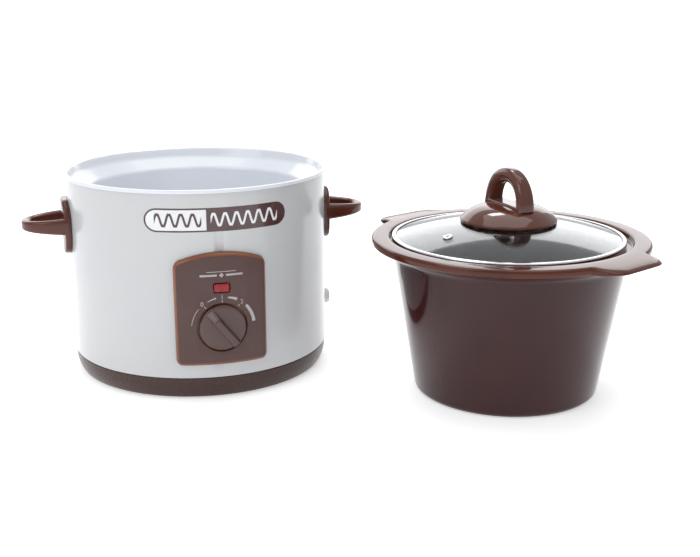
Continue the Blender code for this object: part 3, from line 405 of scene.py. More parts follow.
ring_plastic = finish("ring_plastic", (0.044, 0.020, 0.016), (0.054, 0.025, 0.020), 0.20, 0.34, wave=80,
                      pit=1500, pit_share=0.15, depth=0.00001, shine=0.35)
ring_piece = piece("moulded_ring", ring, ring_plastic, "heater_base", base_at)
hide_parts("base_ring")

# ---------------------------------------------------------------- bottom cover and feet
# A zinc-plated pressing with a stiffening bead closes the underside. Four rubber feet are stuck to it, each
# with a hollow in its tread, and a stud with nut and washer pulls it up to the well.
cover_radius = (cover_high.x - cover_low.x) / 2
bead = cover_high.z - 0.0012        # floor of the stiffening bead
cover = spun([(0.0029, cover_high.z, 0), (0.0480, cover_high.z, 0), (0.0510, bead, 0.0010),
              (0.0600, bead, 0.0010), (0.0630, cover_high.z, 0), (cover_radius, cover_high.z, 0)])
thicken(cover, cover_high.z - cover_low.z, ((0.02, 0, cover_high.z), (0, 0, 1)))
zinc_plate = finish("zinc_plate", (0.50, 0.51, 0.53), (0.60, 0.60, 0.60), 0.25, 0.48, metallic=1.0,
                    drift_scale=45, smear=60, hairlines=900, wave=200, pit=1200, depth=0.00002)
cover_piece = piece("pressed_cover", cover, zinc_plate, "heater_base", base_at)
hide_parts("bottom_cover")

foot_rubber = finish("foot_rubber", (0.020, 0.020, 0.021), (0.035, 0.034, 0.034), 0.62, 0.90, wave=150,
                     pit=1800, depth=0.00008)
for number in (1, 2, 3, 4):
    foot_low, foot_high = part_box(f"foot_{number}")
    foot_radius = (foot_high.x - foot_low.x) / 2
    foot = spun([(0, 0.0008, 0), (0.0042, 0.0008, 0.0004), (0.0047, 0, 0.0003),
                 (foot_radius - 0.0009, 0, 0.0007), (foot_radius, foot_high.z, 0), (0, foot_high.z, 0)], 48)
    foot_piece = piece(f"rubber_foot_{number}", foot, foot_rubber, "heater_base",
                       axis_of(f"foot_{number}"))
    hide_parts(f"foot_{number}")

# ---------------------------------------------------------------- works inside the base
# The element, its glass-fibre blanket, the fuse, switch, lamp and wiring keep their plain shapes, and each
# gets the finish of what it is made of: mica board, woven glass, tinned steel, nylon and silicone sleeve.


def dress(look, *nodes):
    for node in nodes:
        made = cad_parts[node]
        made.data.materials.clear()
        made.data.materials.append(look)


dress(zinc_plate, "tie_stud", "tie_washer", "tie_nut", "earth_tag", "fuse_clip", "selector_nut",
      "selector_shaft", "panel_screw_left", "panel_screw_right",
      *[f"handle_{side}_screw_{end}" for side in ("left", "right") for end in ("low", "high")])
mica_board = finish("mica_board", (0.26, 0.21, 0.15), (0.45, 0.40, 0.33), 0.35, 0.75, drift_scale=140,
                    smear=90, wave=120, pit=900, depth=0.0001)
dress(mica_board, "heater_band")
glass_mat = finish("glass_mat", (0.70, 0.68, 0.62), (0.84, 0.82, 0.77), 0.82, 0.98, drift_scale=160,
                   wave=260, pit=1400, pit_share=0.8, depth=0.0004)
tree = glass_mat.node_tree
weave = tree.nodes.new("ShaderNodeTexWave")
weave.bands_direction = "Z"
weave.inputs["Scale"].default_value = 160
weave.inputs["Distortion"].default_value = 1.5
weave_at = tree.nodes.new("ShaderNodeTexCoord")
weave_bump = tree.nodes.new("ShaderNodeBump")
weave_bump.inputs["Distance"].default_value = 0.0003
tree.links.new(weave_at.outputs["Object"], weave.inputs["Vector"])
tree.links.new(weave.outputs["Fac"], weave_bump.inputs["Height"])
tree.links.new(tree.nodes["Bump"].outputs["Normal"], weave_bump.inputs["Normal"])
tree.links.new(weave_bump.outputs["Normal"], tree.nodes["Principled BSDF"].inputs["Normal"])
dress(glass_mat, "insulation_blanket")
nylon = finish("white_nylon", (0.78, 0.78, 0.77), (0.84, 0.84, 0.83), 0.35, 0.60, wave=120, pit=1600,
               depth=0.00003)
dress(nylon, "terminal_block", "lamp_holder", "selector_switch", "gland_nut")
sleeve = finish("silicone_sleeve", (0.62, 0.59, 0.50), (0.74, 0.71, 0.62), 0.45, 0.72, drift_scale=60,
                wave=300, pit=2000, depth=0.00008)
dress(sleeve, "lead_feed", "lead_heater", "lead_return", "lead_earth")
fuse_can = finish("fuse_can", (0.60, 0.56, 0.46), (0.72, 0.68, 0.58), 0.18, 0.35, metallic=1.0,
                  drift_scale=200, wave=300, pit=1800, depth=0.00002)
dress(fuse_can, "thermal_fuse")
lamp_glass = finish("lamp_glass", (0.85, 0.62, 0.50), (0.92, 0.72, 0.60), 0.03, 0.12, wave=300, pit=900,
                    depth=0.00002)
lamp_glass.node_tree.nodes["Principled BSDF"].inputs["Transmission Weight"].default_value = 0.8
dress(lamp_glass, "neon_lamp")

# ---------------------------------------------------------------- handles
# Two D-shaped loops, each moulded with its back plate in glossy dark brown plastic, and screwed on from
# inside the wall. The plate follows the wall and has a softened front edge.
left_low, left_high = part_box("handle_left")
reach = base_at.x - left_low.x
plate_low, plate_high = left_low.z, left_high.z
LOOP_Z = rim_top - 0.0473       # the loop hangs this far under the rim
PLATE_HALF = 0.0260
PLATE_PROUD = 0.0060
PLATE_CORNER = 0.0170
LOOP_HALF = 0.0265
BAR_OUT = 0.0080
BAR_TALL = 0.0160
BAR_TIP = 0.0098        # height of the bar at the loop's tip
LOOP_SWEEP = 0.92       # power of the loop's oval


def raised(bm, way):
    """Gives a flat outline its thickness."""
    front = bmesh.ops.extrude_face_region(bm, geom=bm.faces[:])["geom"]
    bmesh.ops.translate(bm, verts=[g for g in front if isinstance(g, bmesh.types.BMVert)], vec=way)


def flat_shape(corners, thick, steps=6):
    """Flat (x, z) outline with eased corners, as a slab from y = 0 to its front at -thick."""
    bm = bmesh.new()
    verts = [bm.verts.new((x, 0, z)) for x, z, _ in corners]
    bm.faces.new(verts)
    for vert, (_, _, ease) in zip(verts, corners):
        if ease:
            eased(bm, [vert], ease, "VERTICES", steps)
    raised(bm, (0, -thick, 0))
    bmesh.ops.recalc_face_normals(bm, faces=bm.faces)
    return bm


def slab(half, low, high, ease, thick, steps=6):
    """Upright flat rectangle with its four corners eased."""
    return flat_shape([(-half, low, ease), (half, low, ease), (half, high, ease), (-half, high, ease)],
                      thick, steps)


def round_front(bm, thick, size, segments=4):
    """Rounds every edge that bounds the front face."""
    edges = [e for e in bm.edges
             if all(abs(v.co.y + thick) < 1e-6 for v in e.verts)
             and any(abs(f.normal.y) < 0.5 for f in e.link_faces)]
    eased(bm, edges, size, "EDGES", segments)


def wrap(bm, radius, face_radius, every=0.003):
    """Bends a flat slab round the wall. Widths are kept as seen from the front, at the face's radius."""
    half = max(abs(v.co.x) for v in bm.verts)
    count = int(half / every)
    for k in range(-count, count + 1):
        bmesh.ops.bisect_plane(bm, geom=bm.verts[:] + bm.edges[:] + bm.faces[:], dist=1e-7,
                               plane_co=(k * every, 0, 0), plane_no=(1, 0, 0))
    for vert in bm.verts:
        turn = asin(vert.co.x / face_radius)
        out = radius - vert.co.y
        vert.co.x = out * sin(turn)
        vert.co.y = -out * cos(turn)


def carried(wide, tall, ease, places):
    """Bar made by carrying one rounded section through a row of places, its ends closed."""
    bm = bmesh.new()
    bmesh.ops.create_grid(bm, x_segments=1, y_segments=1, size=0.5)
    bmesh.ops.scale(bm, verts=bm.verts, vec=(wide, tall, 1))
    eased(bm, bm.verts[:], ease, "VERTICES", 6)
    face = bm.faces[:][0]
    rings = [bm.verts[:]]
    for _ in places[1:]:
        drawn = bmesh.ops.extrude_face_region(bm, geom=[face])["geom"]
        bmesh.ops.delete(bm, geom=[face], context="FACES_ONLY")
        face = next(g for g in drawn if isinstance(g, bmesh.types.BMFace))
        rings.append([g for g in drawn if isinstance(g, bmesh.types.BMVert)])
    for ring_verts, place in zip(rings, places):
        bmesh.ops.transform(bm, matrix=place, verts=ring_verts)
    bmesh.ops.holes_fill(bm, edges=[e for e in bm.edges if len(e.link_faces) == 1])
    bmesh.ops.recalc_face_normals(bm, faces=bm.faces)
    return bm


def oval(half, rise, power, steps):
    """Half of a superellipse, foot to foot: (across, out, turn of its tangent, share of the way)."""
    points = []
    for i in range(steps + 1):
        t = pi * i / steps
        points.append((half * (1 if cos(t) >= 0 else -1) * abs(cos(t)) ** power, rise * sin(t) ** power))
    found = []
    for i, (across, out) in enumerate(points):
        last, following = points[max(i - 1, 0)], points[min(i + 1, steps)]
        found.append((across, out, atan2(following[1] - last[1], following[0] - last[0]), i / steps))
    return found


def loop_bar(root):
    """The D-loop: an oval in plan whose bar gets lower towards its tip."""
    places = []
    rise = reach - BAR_OUT / 2 - root
    for across, out, turn, _ in oval(LOOP_HALF - BAR_OUT / 2, rise, LOOP_SWEEP, 36):
        lower = 1 + (BAR_TIP / BAR_TALL - 1) * out / rise
        places.append(Matrix.Translation((across, -root - out, LOOP_Z)) @ Matrix.Rotation(-turn, 4, "Z")
                      @ TO_SIDE @ Matrix.Diagonal((1, lower, 1, 1)))
    return carried(BAR_OUT, BAR_TALL, 0.0038, places)


def mount(made, move, body, sharp=40):
    """Puts a carved piece in its place and lets it ride on its body."""
    made.data.transform(move)
    made.data.shade_smooth()
    made.data.set_sharp_from_angle(angle=radians(sharp))
    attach(made, body)


handle_plastic = finish("handle_plastic", (0.080, 0.020, 0.012), (0.100, 0.027, 0.016), 0.10, 0.22, smear=60,
                        wave=120, pit=1200, pit_share=0.15, depth=0.00001, shine=0.42)
root = sqrt(shell_radius ** 2 - LOOP_HALF ** 2) + PLATE_PROUD / 2
for side, quarter in (("left", -pi / 2), ("right", pi / 2)):
    plate = slab(PLATE_HALF, plate_low, plate_high, PLATE_CORNER, PLATE_PROUD - GAP, 10)
    round_front(plate, PLATE_PROUD - GAP, 0.0026)
    wrap(plate, shell_radius + GAP, shell_radius + PLATE_PROUD)
    handle_piece = piece(f"loop_handle_{side}", plate, handle_plastic)
    carve(handle_piece, [piece("loop", loop_bar(root))], "UNION")
    mount(handle_piece, Matrix.Translation(base_at) @ Matrix.Rotation(quarter, 4, "Z"), "heater_base")
    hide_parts(f"handle_{side}")

# ---------------------------------------------------------------- cord bushing
# A light grey nylon bushing screwed through the wall under the right-hand handle. Its bore is open from end
# to end for the supply cord, and rings round its collar give it grip.
gland_low, gland_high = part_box("cord_gland")
collar_radius = (gland_high.y - gland_low.y) / 2
collar = shell_radius + 0.0004
tip = gland_high.x - base_at.x
inner = gland_low.x - base_at.x
gland = spun([
    (0.0035, inner, 0.0004), (0.0050, inner, 0.0006), (0.0050, collar, 0), (collar_radius, collar, 0.0006),
    (collar_radius, collar + 0.0020, 0.0003), (collar_radius - 0.0007, collar + 0.0026, 0.0003),
    (collar_radius - 0.0007, collar + 0.0036, 0.0003), (collar_radius, collar + 0.0042, 0.0003),
    (collar_radius - 0.0004, tip, 0.0014), (0.0035, tip, 0.0006),
], 64, closed=True)
bmesh.ops.transform(gland, matrix=TO_RIGHT, verts=gland.verts)
gland_piece = piece("cord_bushing", gland, nylon, "heater_base", base_at + Vector((0, 0, GLAND_Z)))
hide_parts("cord_gland")

# ---------------------------------------------------------------- control panel
# A curved brown plastic moulding, screwed on from behind: straight sides, an arched top and a broad glossy
# rounded border. Its face is spark-eroded to a fine matt, with a round pocket for the selector. The border's
# lighter, more orange brown is painted highlight; its lower roughness is the real gloss.
panel_low, panel_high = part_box("control_panel")
PANEL_FACE = base_at.y - panel_low.y
PANEL_HALF = (panel_high.x - panel_low.x) / 2
PANEL_THICK = PANEL_FACE - shell_radius - GAP
PANEL_RISE = 0.0090
POCKET_RADIUS = 0.0225
POCKET_DEPTH = 0.0037
WINDOW_HALF = 0.0078
WINDOW_TALL = 0.0095
BORDER = 0.0044
shoulder = panel_high.z - PANEL_RISE
crown_radius = (PANEL_HALF ** 2 + PANEL_RISE ** 2) / (2 * PANEL_RISE)
arch = [(crown_radius * sin(a), panel_high.z - crown_radius * (1 - cos(a)), 0)
        for a in [asin((PANEL_HALF - 0.006) / crown_radius) * (1 - k / 8) for k in range(17)]]
panel = flat_shape([(-PANEL_HALF, panel_low.z, 0.0060), (PANEL_HALF, panel_low.z, 0.0060),
                    (PANEL_HALF, shoulder, 0.0055), *arch, (-PANEL_HALF, shoulder, 0.0055)], PANEL_THICK)
round_front(panel, PANEL_THICK, BORDER, 6)
panel_piece = piece("curved_panel", panel)
window = slab(WINDOW_HALF, -WINDOW_TALL / 2, WINDOW_TALL / 2, 0.0022, 0.02)
bmesh.ops.translate(window, verts=window.verts, vec=(0, 0.01, LENS_Z))
AT_DIAL = Vector((0, 0, SELECTOR_Z))
carve(panel_piece, [
    piece("cut_window", window),
    drill("cut_pocket", POCKET_RADIUS, PANEL_THICK - POCKET_DEPTH, 0.02, TO_FRONT, AT_DIAL, 96),
    drill("cut_neck", NECK_HOLE, -0.01, 0.02, TO_FRONT, AT_DIAL),
])
panel = bmesh.new()
panel.from_mesh(panel_piece.data)
bpy.data.objects.remove(panel_piece, do_unlink=True)
pocket_edge = [e for e in panel.edges
               if all(abs((v.co - AT_DIAL).xz.length - POCKET_RADIUS) < 2e-4 for v in e.verts)
               and all(abs(v.co.y + PANEL_THICK) < 1e-5 for v in e.verts)]
eased(panel, pocket_edge, 0.0005, "EDGES", 2)
wrap(panel, shell_radius + GAP, PANEL_FACE)


def from_axis(tree, axis_at):
    """Distance of a point from an upright axis."""
    at = tree.nodes.new("ShaderNodeTexCoord")
    mapping = tree.nodes.new("ShaderNodeMapping")
    mapping.inputs["Location"].default_value = (-axis_at.x, -axis_at.y, 0)
    mapping.inputs["Scale"].default_value = (1, 1, 0)
    length = tree.nodes.new("ShaderNodeVectorMath")
    length.operation = "LENGTH"
    tree.links.new(at.outputs["Object"], mapping.inputs["Vector"])
    tree.links.new(mapping.outputs["Vector"], length.inputs[0])
    return length.outputs["Value"]


def ramp(tree, value, low, high):
    """Goes smoothly from 0 to 1 as a value goes from low to high."""
    made = tree.nodes.new("ShaderNodeMapRange")
    made.interpolation_type = "SMOOTHSTEP"
    made.inputs["From Min"].default_value = low
    made.inputs["From Max"].default_value = high
    tree.links.new(value, made.inputs["Value"])
    return made.outputs["Result"]


panel_plastic, tree, shader = new_material("panel_plastic", 0.5)
shader.inputs["Specular IOR Level"].default_value = 0.35
matt = ramp(tree, from_axis(tree, base_at), PANEL_FACE - 0.0006, PANEL_FACE - 0.0001)
face = tones(tree, 25, (0.080, 0.043, 0.038), (0.092, 0.050, 0.044))
# Painted highlight: the rounded border, all round, gets a lighter and more orange brown than the face.
painted_highlight_border = tones(tree, 30, (0.190, 0.066, 0.030), (0.225, 0.082, 0.040))
tree.links.new(blended(tree, matt, painted_highlight_border, face), shader.inputs["Base Color"])
worn = place_group(tree, handled, Polished=0.36, Dull=0.56, Scale=35, Hairlines=600)
rough = tree.nodes.new("ShaderNodeMix")
rough.inputs["A"].default_value = 0.16
tree.links.new(matt, rough.inputs["Factor"])
tree.links.new(worn.outputs["Roughness"], rough.inputs["B"])
tree.links.new(rough.outputs["Result"], shader.inputs["Roughness"])
add_relief(tree, shader, 90, 2600, 1.4, 0.5, 0.00006)
panel_piece = piece("curved_panel", panel, panel_plastic, "heater_base", base_at, 30)
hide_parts("control_panel")

# ---------------------------------------------------------------- print on the panel
# Pad-printed in pale grey: a rule with a lozenge over the lamp, and round the selector the numbers 0, 1 and 2
# with a tick each and a broadening band that stands for more heat.
INK = 0.00008
print_ink = finish("print_ink", (0.36, 0.32, 0.33), (0.44, 0.40, 0.41), 0.40, 0.65, drift_scale=300, wave=400,
                   pit=3000, depth=0.00001)


def printed(name, shapes, look, radius):
    """Lays flat ink shapes on a curved face and makes them one piece."""
    ink = bmesh.new()
    for shape in shapes:
        part = bpy.data.meshes.new("ink")
        shape.to_mesh(part)
        shape.free()
        ink.from_mesh(part)
        bpy.data.meshes.remove(part)
    wrap(ink, radius, radius, 0.0015)
    return piece(name, ink, look, "heater_base", base_at)


def strip(x, z, wide, tall, tilt=0.0):
    """Straight stroke of ink, centred on a place."""
    bm = slab(wide / 2, -tall / 2, tall / 2, 0, INK)
    move = Matrix.Translation((x, 0, z)) @ Matrix.Rotation(tilt, 4, "Y")
    bmesh.ops.transform(bm, matrix=move, verts=bm.verts)
    return bm


def digit(body, x, z, size):
    """One figure, centred on a place."""
    curve = bpy.data.curves.new("digit", "FONT")
    curve.body = body
    curve.size = size
    curve.align_x = "CENTER"
    curve.align_y = "CENTER"
    curve.resolution_u = 4
    holder = bpy.data.objects.new("digit", curve)
    bpy.context.scene.collection.objects.link(holder)
    outline = bpy.data.meshes.new_from_object(
        holder.evaluated_get(bpy.context.evaluated_depsgraph_get()))
    bpy.data.objects.remove(holder, do_unlink=True)
    bm = bmesh.new()
    bm.from_mesh(outline)
    bpy.data.meshes.remove(outline)
    bmesh.ops.remove_doubles(bm, verts=bm.verts, dist=1e-7)
    raised(bm, (0, 0, INK))
    bmesh.ops.transform(bm, matrix=Matrix.Translation((x, 0, z)) @ TO_FRONT, verts=bm.verts)
    bmesh.ops.recalc_face_normals(bm, faces=bm.faces)
    return bm


def dial_band(low_angle, high_angle, thin, thick):
    """Curved band round the dial that broadens from one end to the other."""
    bm = bmesh.new()
    bmesh.ops.create_grid(bm, x_segments=24, y_segments=1, size=0.5)
    raised(bm, (0, 0, INK))
    for vert in bm.verts:
        share = vert.co.x + 0.5
        a = radians(low_angle + share * (high_angle - low_angle))
        r = BAND_R + (vert.co.y + 0.5) * (thin + share * (thick - thin))
        vert.co = (r * sin(a), -vert.co.z, SELECTOR_Z + r * cos(a))
    bmesh.ops.recalc_face_normals(bm, faces=bm.faces)
    return bm


STEP = 38.0         # degrees between the selector's positions
NUMBER_R = 0.0288
TICK_R = 0.0243
BAND_R = 0.0272
RULE_Z = 0.1208
LINE_Z = 0.1176     # middle of the two thick strokes under the rule, and of the lozenge between them
dial = []
for number, angle in (("0", -STEP), ("1", 0.0), ("2", STEP)):
    a = radians(angle)
    dial.append(digit(number, NUMBER_R * sin(a), SELECTOR_Z + (NUMBER_R - 0.0006) * cos(a), 0.0058))
    dial.append(strip(TICK_R * sin(a), SELECTOR_Z + TICK_R * cos(a), 0.0007, 0.0022, a))
for low_angle, high_angle, thin, thick in ((-28, -11, 0.0005, 0.0014), (11, 28, 0.0014, 0.0026),
                                           (49, 84, 0.0026, 0.0030), (-84, -49, 0.0005, 0.0005)):
    dial.append(dial_band(low_angle, high_angle, thin, thick))
dial.append(strip(0, RULE_Z, 0.0260, 0.0006))
for x in (-0.0115, 0.0115):
    dial.append(strip(x, LINE_Z, 0.0150, 0.0018))
dial.append(strip(0, LINE_Z, 0.0030, 0.0030, pi / 4))
printed("panel_print", dial, print_ink, PANEL_FACE)

# ---------------------------------------------------------------- indicator lens
# A small red lens, pressed into its window from behind. Its face is pillowed.
lens_low, lens_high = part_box("indicator_lens")
lens_half = (lens_high.x - lens_low.x) / 2 - 0.0005
lens_up = (lens_high.z - lens_low.z) / 2 - 0.0005
lens_thick = lens_high.y - lens_low.y
red = slab(lens_half, -lens_up, lens_up, 0.0017, lens_thick)
round_front(red, lens_thick, 0.0012, 5)
red_plastic = finish("red_lens", (0.22, 0.006, 0.012), (0.30, 0.010, 0.018), 0.08, 0.22, drift_scale=260,
                     wave=700, pit=1200, depth=0.00006, shine=0.4)
red_piece = piece("red_lens", red, red_plastic, "heater_base",
                  Vector((base_at.x, lens_high.y, LENS_Z)))
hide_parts("indicator_lens")

# ---------------------------------------------------------------- selector knob
# A flat disc that nearly fills its pocket, with a straight grip across it, moulded in one and pressed on the
# shaft. The grip slopes down at its pointing end.
knob_low, knob_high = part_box("selector_knob")
knob_radius = (knob_high.x - knob_low.x) / 2
knob_back = base_at.y - knob_high.y
knob_face = knob_back + 0.0048
grip_top = base_at.y - knob_low.y
GRIP_ANGLE = 38.0
GRIP_WIDE = 0.0090
SUNK = 0.001        # how deep the grip's foot is sunk in the disc
knob = spun([
    (0, knob_back + 0.0026, 0), (0.0165, knob_back + 0.0026, 0), (0.0165, knob_back, 0),
    (knob_radius, knob_back, 0.0003), (knob_radius, knob_face - 0.0004, 0.0011),
    (knob_radius - 0.0040, knob_face, 0), (0, knob_face, 0)], 96)
bmesh.ops.transform(knob, matrix=TO_FRONT, verts=knob.verts)
grip_half = sqrt((knob_radius - 0.0008) ** 2 - (GRIP_WIDE / 2) ** 2)


def block(size, at):
    """Square block, centred on a place."""
    bm = bmesh.new()
    bmesh.ops.create_cube(bm, size=1)
    bmesh.ops.scale(bm, verts=bm.verts, vec=size)
    bmesh.ops.translate(bm, verts=bm.verts, vec=at)
    return bm


grip = block((GRIP_WIDE, grip_top - knob_face + SUNK, 2 * grip_half),
             (0, -(knob_face - SUNK + grip_top) / 2, 0))
for vert in grip.verts:
    if vert.co.y < -knob_face:
        vert.co.z -= 0.0085 if vert.co.z > 0 else -0.0012
        vert.co.x *= 0.72
eased(grip, grip.edges[:], 0.0013, "EDGES", 4)
bmesh.ops.transform(grip, matrix=Matrix.Rotation(radians(-GRIP_ANGLE), 4, "Y"), verts=grip.verts)
bmesh.ops.recalc_face_normals(grip, faces=grip.faces)
knob_plastic = finish("knob_plastic", (0.066, 0.030, 0.024), (0.084, 0.040, 0.032), 0.12, 0.24, smear=90,
                      hairlines=500, wave=150, pit=1400, pit_share=0.1, depth=0.00001, coat=0.3, shine=0.4)
knob_piece = piece("selector", knob, knob_plastic)
carve(knob_piece, [piece("grip", grip)], "UNION")
mount(knob_piece, Matrix.Translation(base_at + AT_DIAL), "selector", 30)
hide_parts("selector_knob")

# ---------------------------------------------------------------- badge on the wall
# Printed straight on the paint, centred over the panel: a pill with a dark outline, its left part pale and
# its right part dark brown, each with a plain wavy line for simmering heat.
PILL_Z = 0.1665
PILL_TALL = 0.0212
PILL_HALF = 0.0628
SPLIT = -0.0108         # where the pale part meets the dark part
PILL_LINE = 0.0015      # width of the outline
WAVE_SWING = 0.0050
WAVE_STROKE = 0.0021
brown_ink = finish("brown_ink", (0.060, 0.024, 0.026), (0.080, 0.034, 0.036), 0.12, 0.28, drift_scale=80,
                   wave=60, pit=1500, depth=0.00002, coat=0.4)
pale_ink = finish("pale_ink", (0.72, 0.73, 0.74), (0.78, 0.79, 0.80), 0.12, 0.28, drift_scale=80, wave=60,
                  pit=1500, depth=0.00002, coat=0.4)


def pill(half, tall, ease, lift):
    """Long shape with rounded ends, at the badge's height."""
    bm = slab(half, -tall / 2, tall / 2, ease, lift, 10)
    bmesh.ops.translate(bm, verts=bm.verts, vec=(0, 0, PILL_Z))
    return bm


def wavy(low, high, periods, lift):
    """Waving stroke of even width along the badge."""
    bm = bmesh.new()
    bmesh.ops.create_grid(bm, x_segments=int(periods * 24), y_segments=1, size=0.5)
    raised(bm, (0, 0, 1))
    for vert in bm.verts:
        phase = 2 * pi * periods * (vert.co.x + 0.5)
        slope = 2 * pi * periods * WAVE_SWING * cos(phase) / (high - low)
        up = PILL_Z + WAVE_SWING * sin(phase) + vert.co.y * WAVE_STROKE * sqrt(1 + slope ** 2)
        vert.co = (low + (vert.co.x + 0.5) * (high - low), -lift * vert.co.z, up)
    bmesh.ops.recalc_face_normals(bm, faces=bm.faces)
    return bm


pale_half = pill(PILL_HALF - PILL_LINE, PILL_TALL - 2 * PILL_LINE, 0.0088, 1.5 * INK)
bmesh.ops.bisect_plane(pale_half, geom=pale_half.verts[:] + pale_half.edges[:] + pale_half.faces[:],
                       dist=1e-7, plane_co=(SPLIT, 0, 0), plane_no=(1, 0, 0), clear_outer=True)
bmesh.ops.holes_fill(pale_half, edges=[e for e in pale_half.edges if len(e.link_faces) == 1])
bmesh.ops.recalc_face_normals(pale_half, faces=pale_half.faces)
printed("badge_field", [pill(PILL_HALF, PILL_TALL, 0.0103, INK)], brown_ink, shell_radius)
printed("badge_light", [pale_half], pale_ink, shell_radius)
printed("badge_wave_dark", [wavy(-0.0545, -0.0150, 4, 2 * INK)], brown_ink, shell_radius)
printed("badge_wave_light", [wavy(-0.0070, 0.0545, 6, 1.5 * INK)], pale_ink, shell_radius)

# ---------------------------------------------------------------- crock
# Slip-cast stoneware under a dark brown glaze that breaks to a redder brown where it thins on the rim. The
# rim carries the lid on an inner step and widens at both ends into a flat tab to carry it by.
CROCK_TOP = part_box("crock")[1].z
RIM_R = 0.1255
RIM_DEEP = 0.0070
FOOT_R = 0.0846
NECK_R = 0.1054
NECK_Z = 0.1280
WALL = 0.0065
SEAT_R = 0.1090
SEAT_IN = 0.1005
SEAT_Z = CROCK_TOP - 0.0055
INSIDE_FLOOR = 0.0075
TAB_ANGLE = radians(-64.5)
TAB_REACH = 0.1435
TAB_HALF = 0.0360
TAB_CORNER = 0.0170
TAB_DROP = 0.0011
taper = (NECK_R - FOOT_R) / NECK_Z
under = CROCK_TOP - RIM_DEEP
crock = spun([
    (0, 0.0010, 0), (FOOT_R - 0.0160, 0.0010, 0.0006), (FOOT_R - 0.0145, 0, 0.0006),
    (FOOT_R - 0.0010, 0, 0.0055),
    (NECK_R, NECK_Z, 0.0035), (RIM_R - 0.0100, under - 0.0008, 0.0030), (RIM_R - 0.0050, under - 0.0004, 0),
    (RIM_R, under, 0.0022), (RIM_R, CROCK_TOP - 0.0002, 0.0027), (RIM_R - 0.0050, CROCK_TOP, 0),
    (SEAT_R + 0.0060, CROCK_TOP, 0), (SEAT_R + 0.0004, CROCK_TOP, 0.0016), (SEAT_R, SEAT_Z, 0.0012),
    (SEAT_IN, SEAT_Z, 0.0015), (NECK_R - WALL, NECK_Z - 0.0020, 0.0060),
    (FOOT_R + taper * INSIDE_FLOOR - WALL, INSIDE_FLOOR, 0.0110), (0, INSIDE_FLOOR, 0),
], 360)


def tab_edge(angle):
    """Reach of the tab's outline from the crock's axis, at an angle from the tab's middle."""
    a = abs(angle)
    cx, cy = TAB_REACH - TAB_CORNER, TAB_HALF - TAB_CORNER
    end = TAB_REACH / cos(a)
    if end * sin(a) <= cy:
        return end
    swing = cx * sin(a) - cy * cos(a)
    if abs(swing) < TAB_CORNER:
        arc = cx * cos(a) + cy * sin(a) + sqrt(TAB_CORNER ** 2 - swing ** 2)
        if arc * cos(a) > cx:
            return arc
    return TAB_HALF / sin(a)


def soft_max(a, b, blend):
    """The larger of two, with the corner between them rounded."""
    return max(a, b) + blend * log(1 + exp(-abs(a - b) / blend))


rim_start = RIM_R - 0.0052
for vert in crock.verts:
    radius = vert.co.xy.length
    if radius < rim_start or vert.co.z < under - 0.003:
        continue
    way = vert.co.to_2d().angle_signed(Vector((cos(TAB_ANGLE), sin(TAB_ANGLE))), 0)
    turn = (way + pi / 2) % pi - pi / 2
    edge = soft_max(tab_edge(turn), RIM_R, 0.0020) if abs(turn) < 0.75 else RIM_R
    stretch = (radius - rim_start) / (RIM_R - rim_start)
    grown = rim_start + stretch * (min(edge, TAB_REACH / cos(turn)) - rim_start)
    share = min(1, max(0, (edge - RIM_R) / (TAB_REACH - RIM_R)))
    vert.co.xy *= grown / radius
    vert.co.z += TAB_DROP * share * stretch * (1 if vert.co.z < under + 0.0035 else -1)

glaze, tree, shader = new_material("brown_glaze", 0.08)
shader.inputs["Specular IOR Level"].default_value = 0.33
height_at = tree.nodes.new("ShaderNodeTexCoord")
parts = tree.nodes.new("ShaderNodeSeparateXYZ")
tree.links.new(height_at.outputs["Object"], parts.inputs["Vector"])
thin = ramp(tree, parts.outputs["Z"], under - 0.0035, under + 0.0010)
body_glaze = tones(tree, 14, (0.030, 0.0065, 0.0075), (0.040, 0.0090, 0.0095))
rim_glaze = tones(tree, 30, (0.062, 0.013, 0.006), (0.085, 0.019, 0.008))
tree.links.new(blended(tree, thin, body_glaze, rim_glaze), shader.inputs["Base Color"])
add_wear(tree, shader, 0.06, 0.15, 18, 200)
add_relief(tree, shader, 22, 260, 0.20, 0.5, 0.00025)
crock_piece = piece("glazed_crock", crock, glaze, "crock", crock_at)
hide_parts("crock")

# ---------------------------------------------------------------- lid glass and its band
# A shallow dome of tempered glass, held all round by a polished steel band whose lips are rolled over its
# edge. The steam hole is lined with a small steel eyelet.
glass_low, glass_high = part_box("lid_glass")
band_low, band_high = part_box("lid_rim_band")
lid_at = axis_of("lid_rim_band")
GLASS = 0.0036
glass_radius = (glass_high.x - glass_low.x) / 2
DOME_RISE = 0.0170
HUB_R = 0.0035      # hole for the knob's screw
dome_edge = glass_high.z - DOME_RISE * (1 - (HUB_R / glass_radius) ** 2)


def dome(r):
    """Height of the glass's upper face, at a distance from the lid's axis."""
    return dome_edge + DOME_RISE * (1 - (r / glass_radius) ** 2)


glass = spun([(HUB_R + (glass_radius - HUB_R) * k / 24, dome(HUB_R + (glass_radius - HUB_R) * k / 24), 0)
              for k in range(25)])
thicken(glass, GLASS, ((0.03, 0, dome(0.03)), (0, 0, 1)))
clear_glass, tree, shader = new_material("clear_glass", 0.02)
shader.inputs["Transmission Weight"].default_value = 1.0
shader.inputs["IOR"].default_value = 1.52
tree.links.new(tones(tree, 9, (0.80, 0.84, 0.86), (0.86, 0.89, 0.90)), shader.inputs["Base Color"])
add_wear(tree, shader, 0.01, 0.07, 14, 160)
add_relief(tree, shader, 9, 120, 0.05, 0.4, 0.0003)
glass_piece = piece("domed_glass", glass, clear_glass, "lid", lid_at)
VENT_RADIUS = 0.0720
VENT_ANGLE = radians(-160)
VENT_HOLE = 0.0028
slope = 2 * DOME_RISE * VENT_RADIUS / glass_radius ** 2
vent_at = lid_at + Vector((VENT_RADIUS * cos(VENT_ANGLE), VENT_RADIUS * sin(VENT_ANGLE), dome(VENT_RADIUS)))
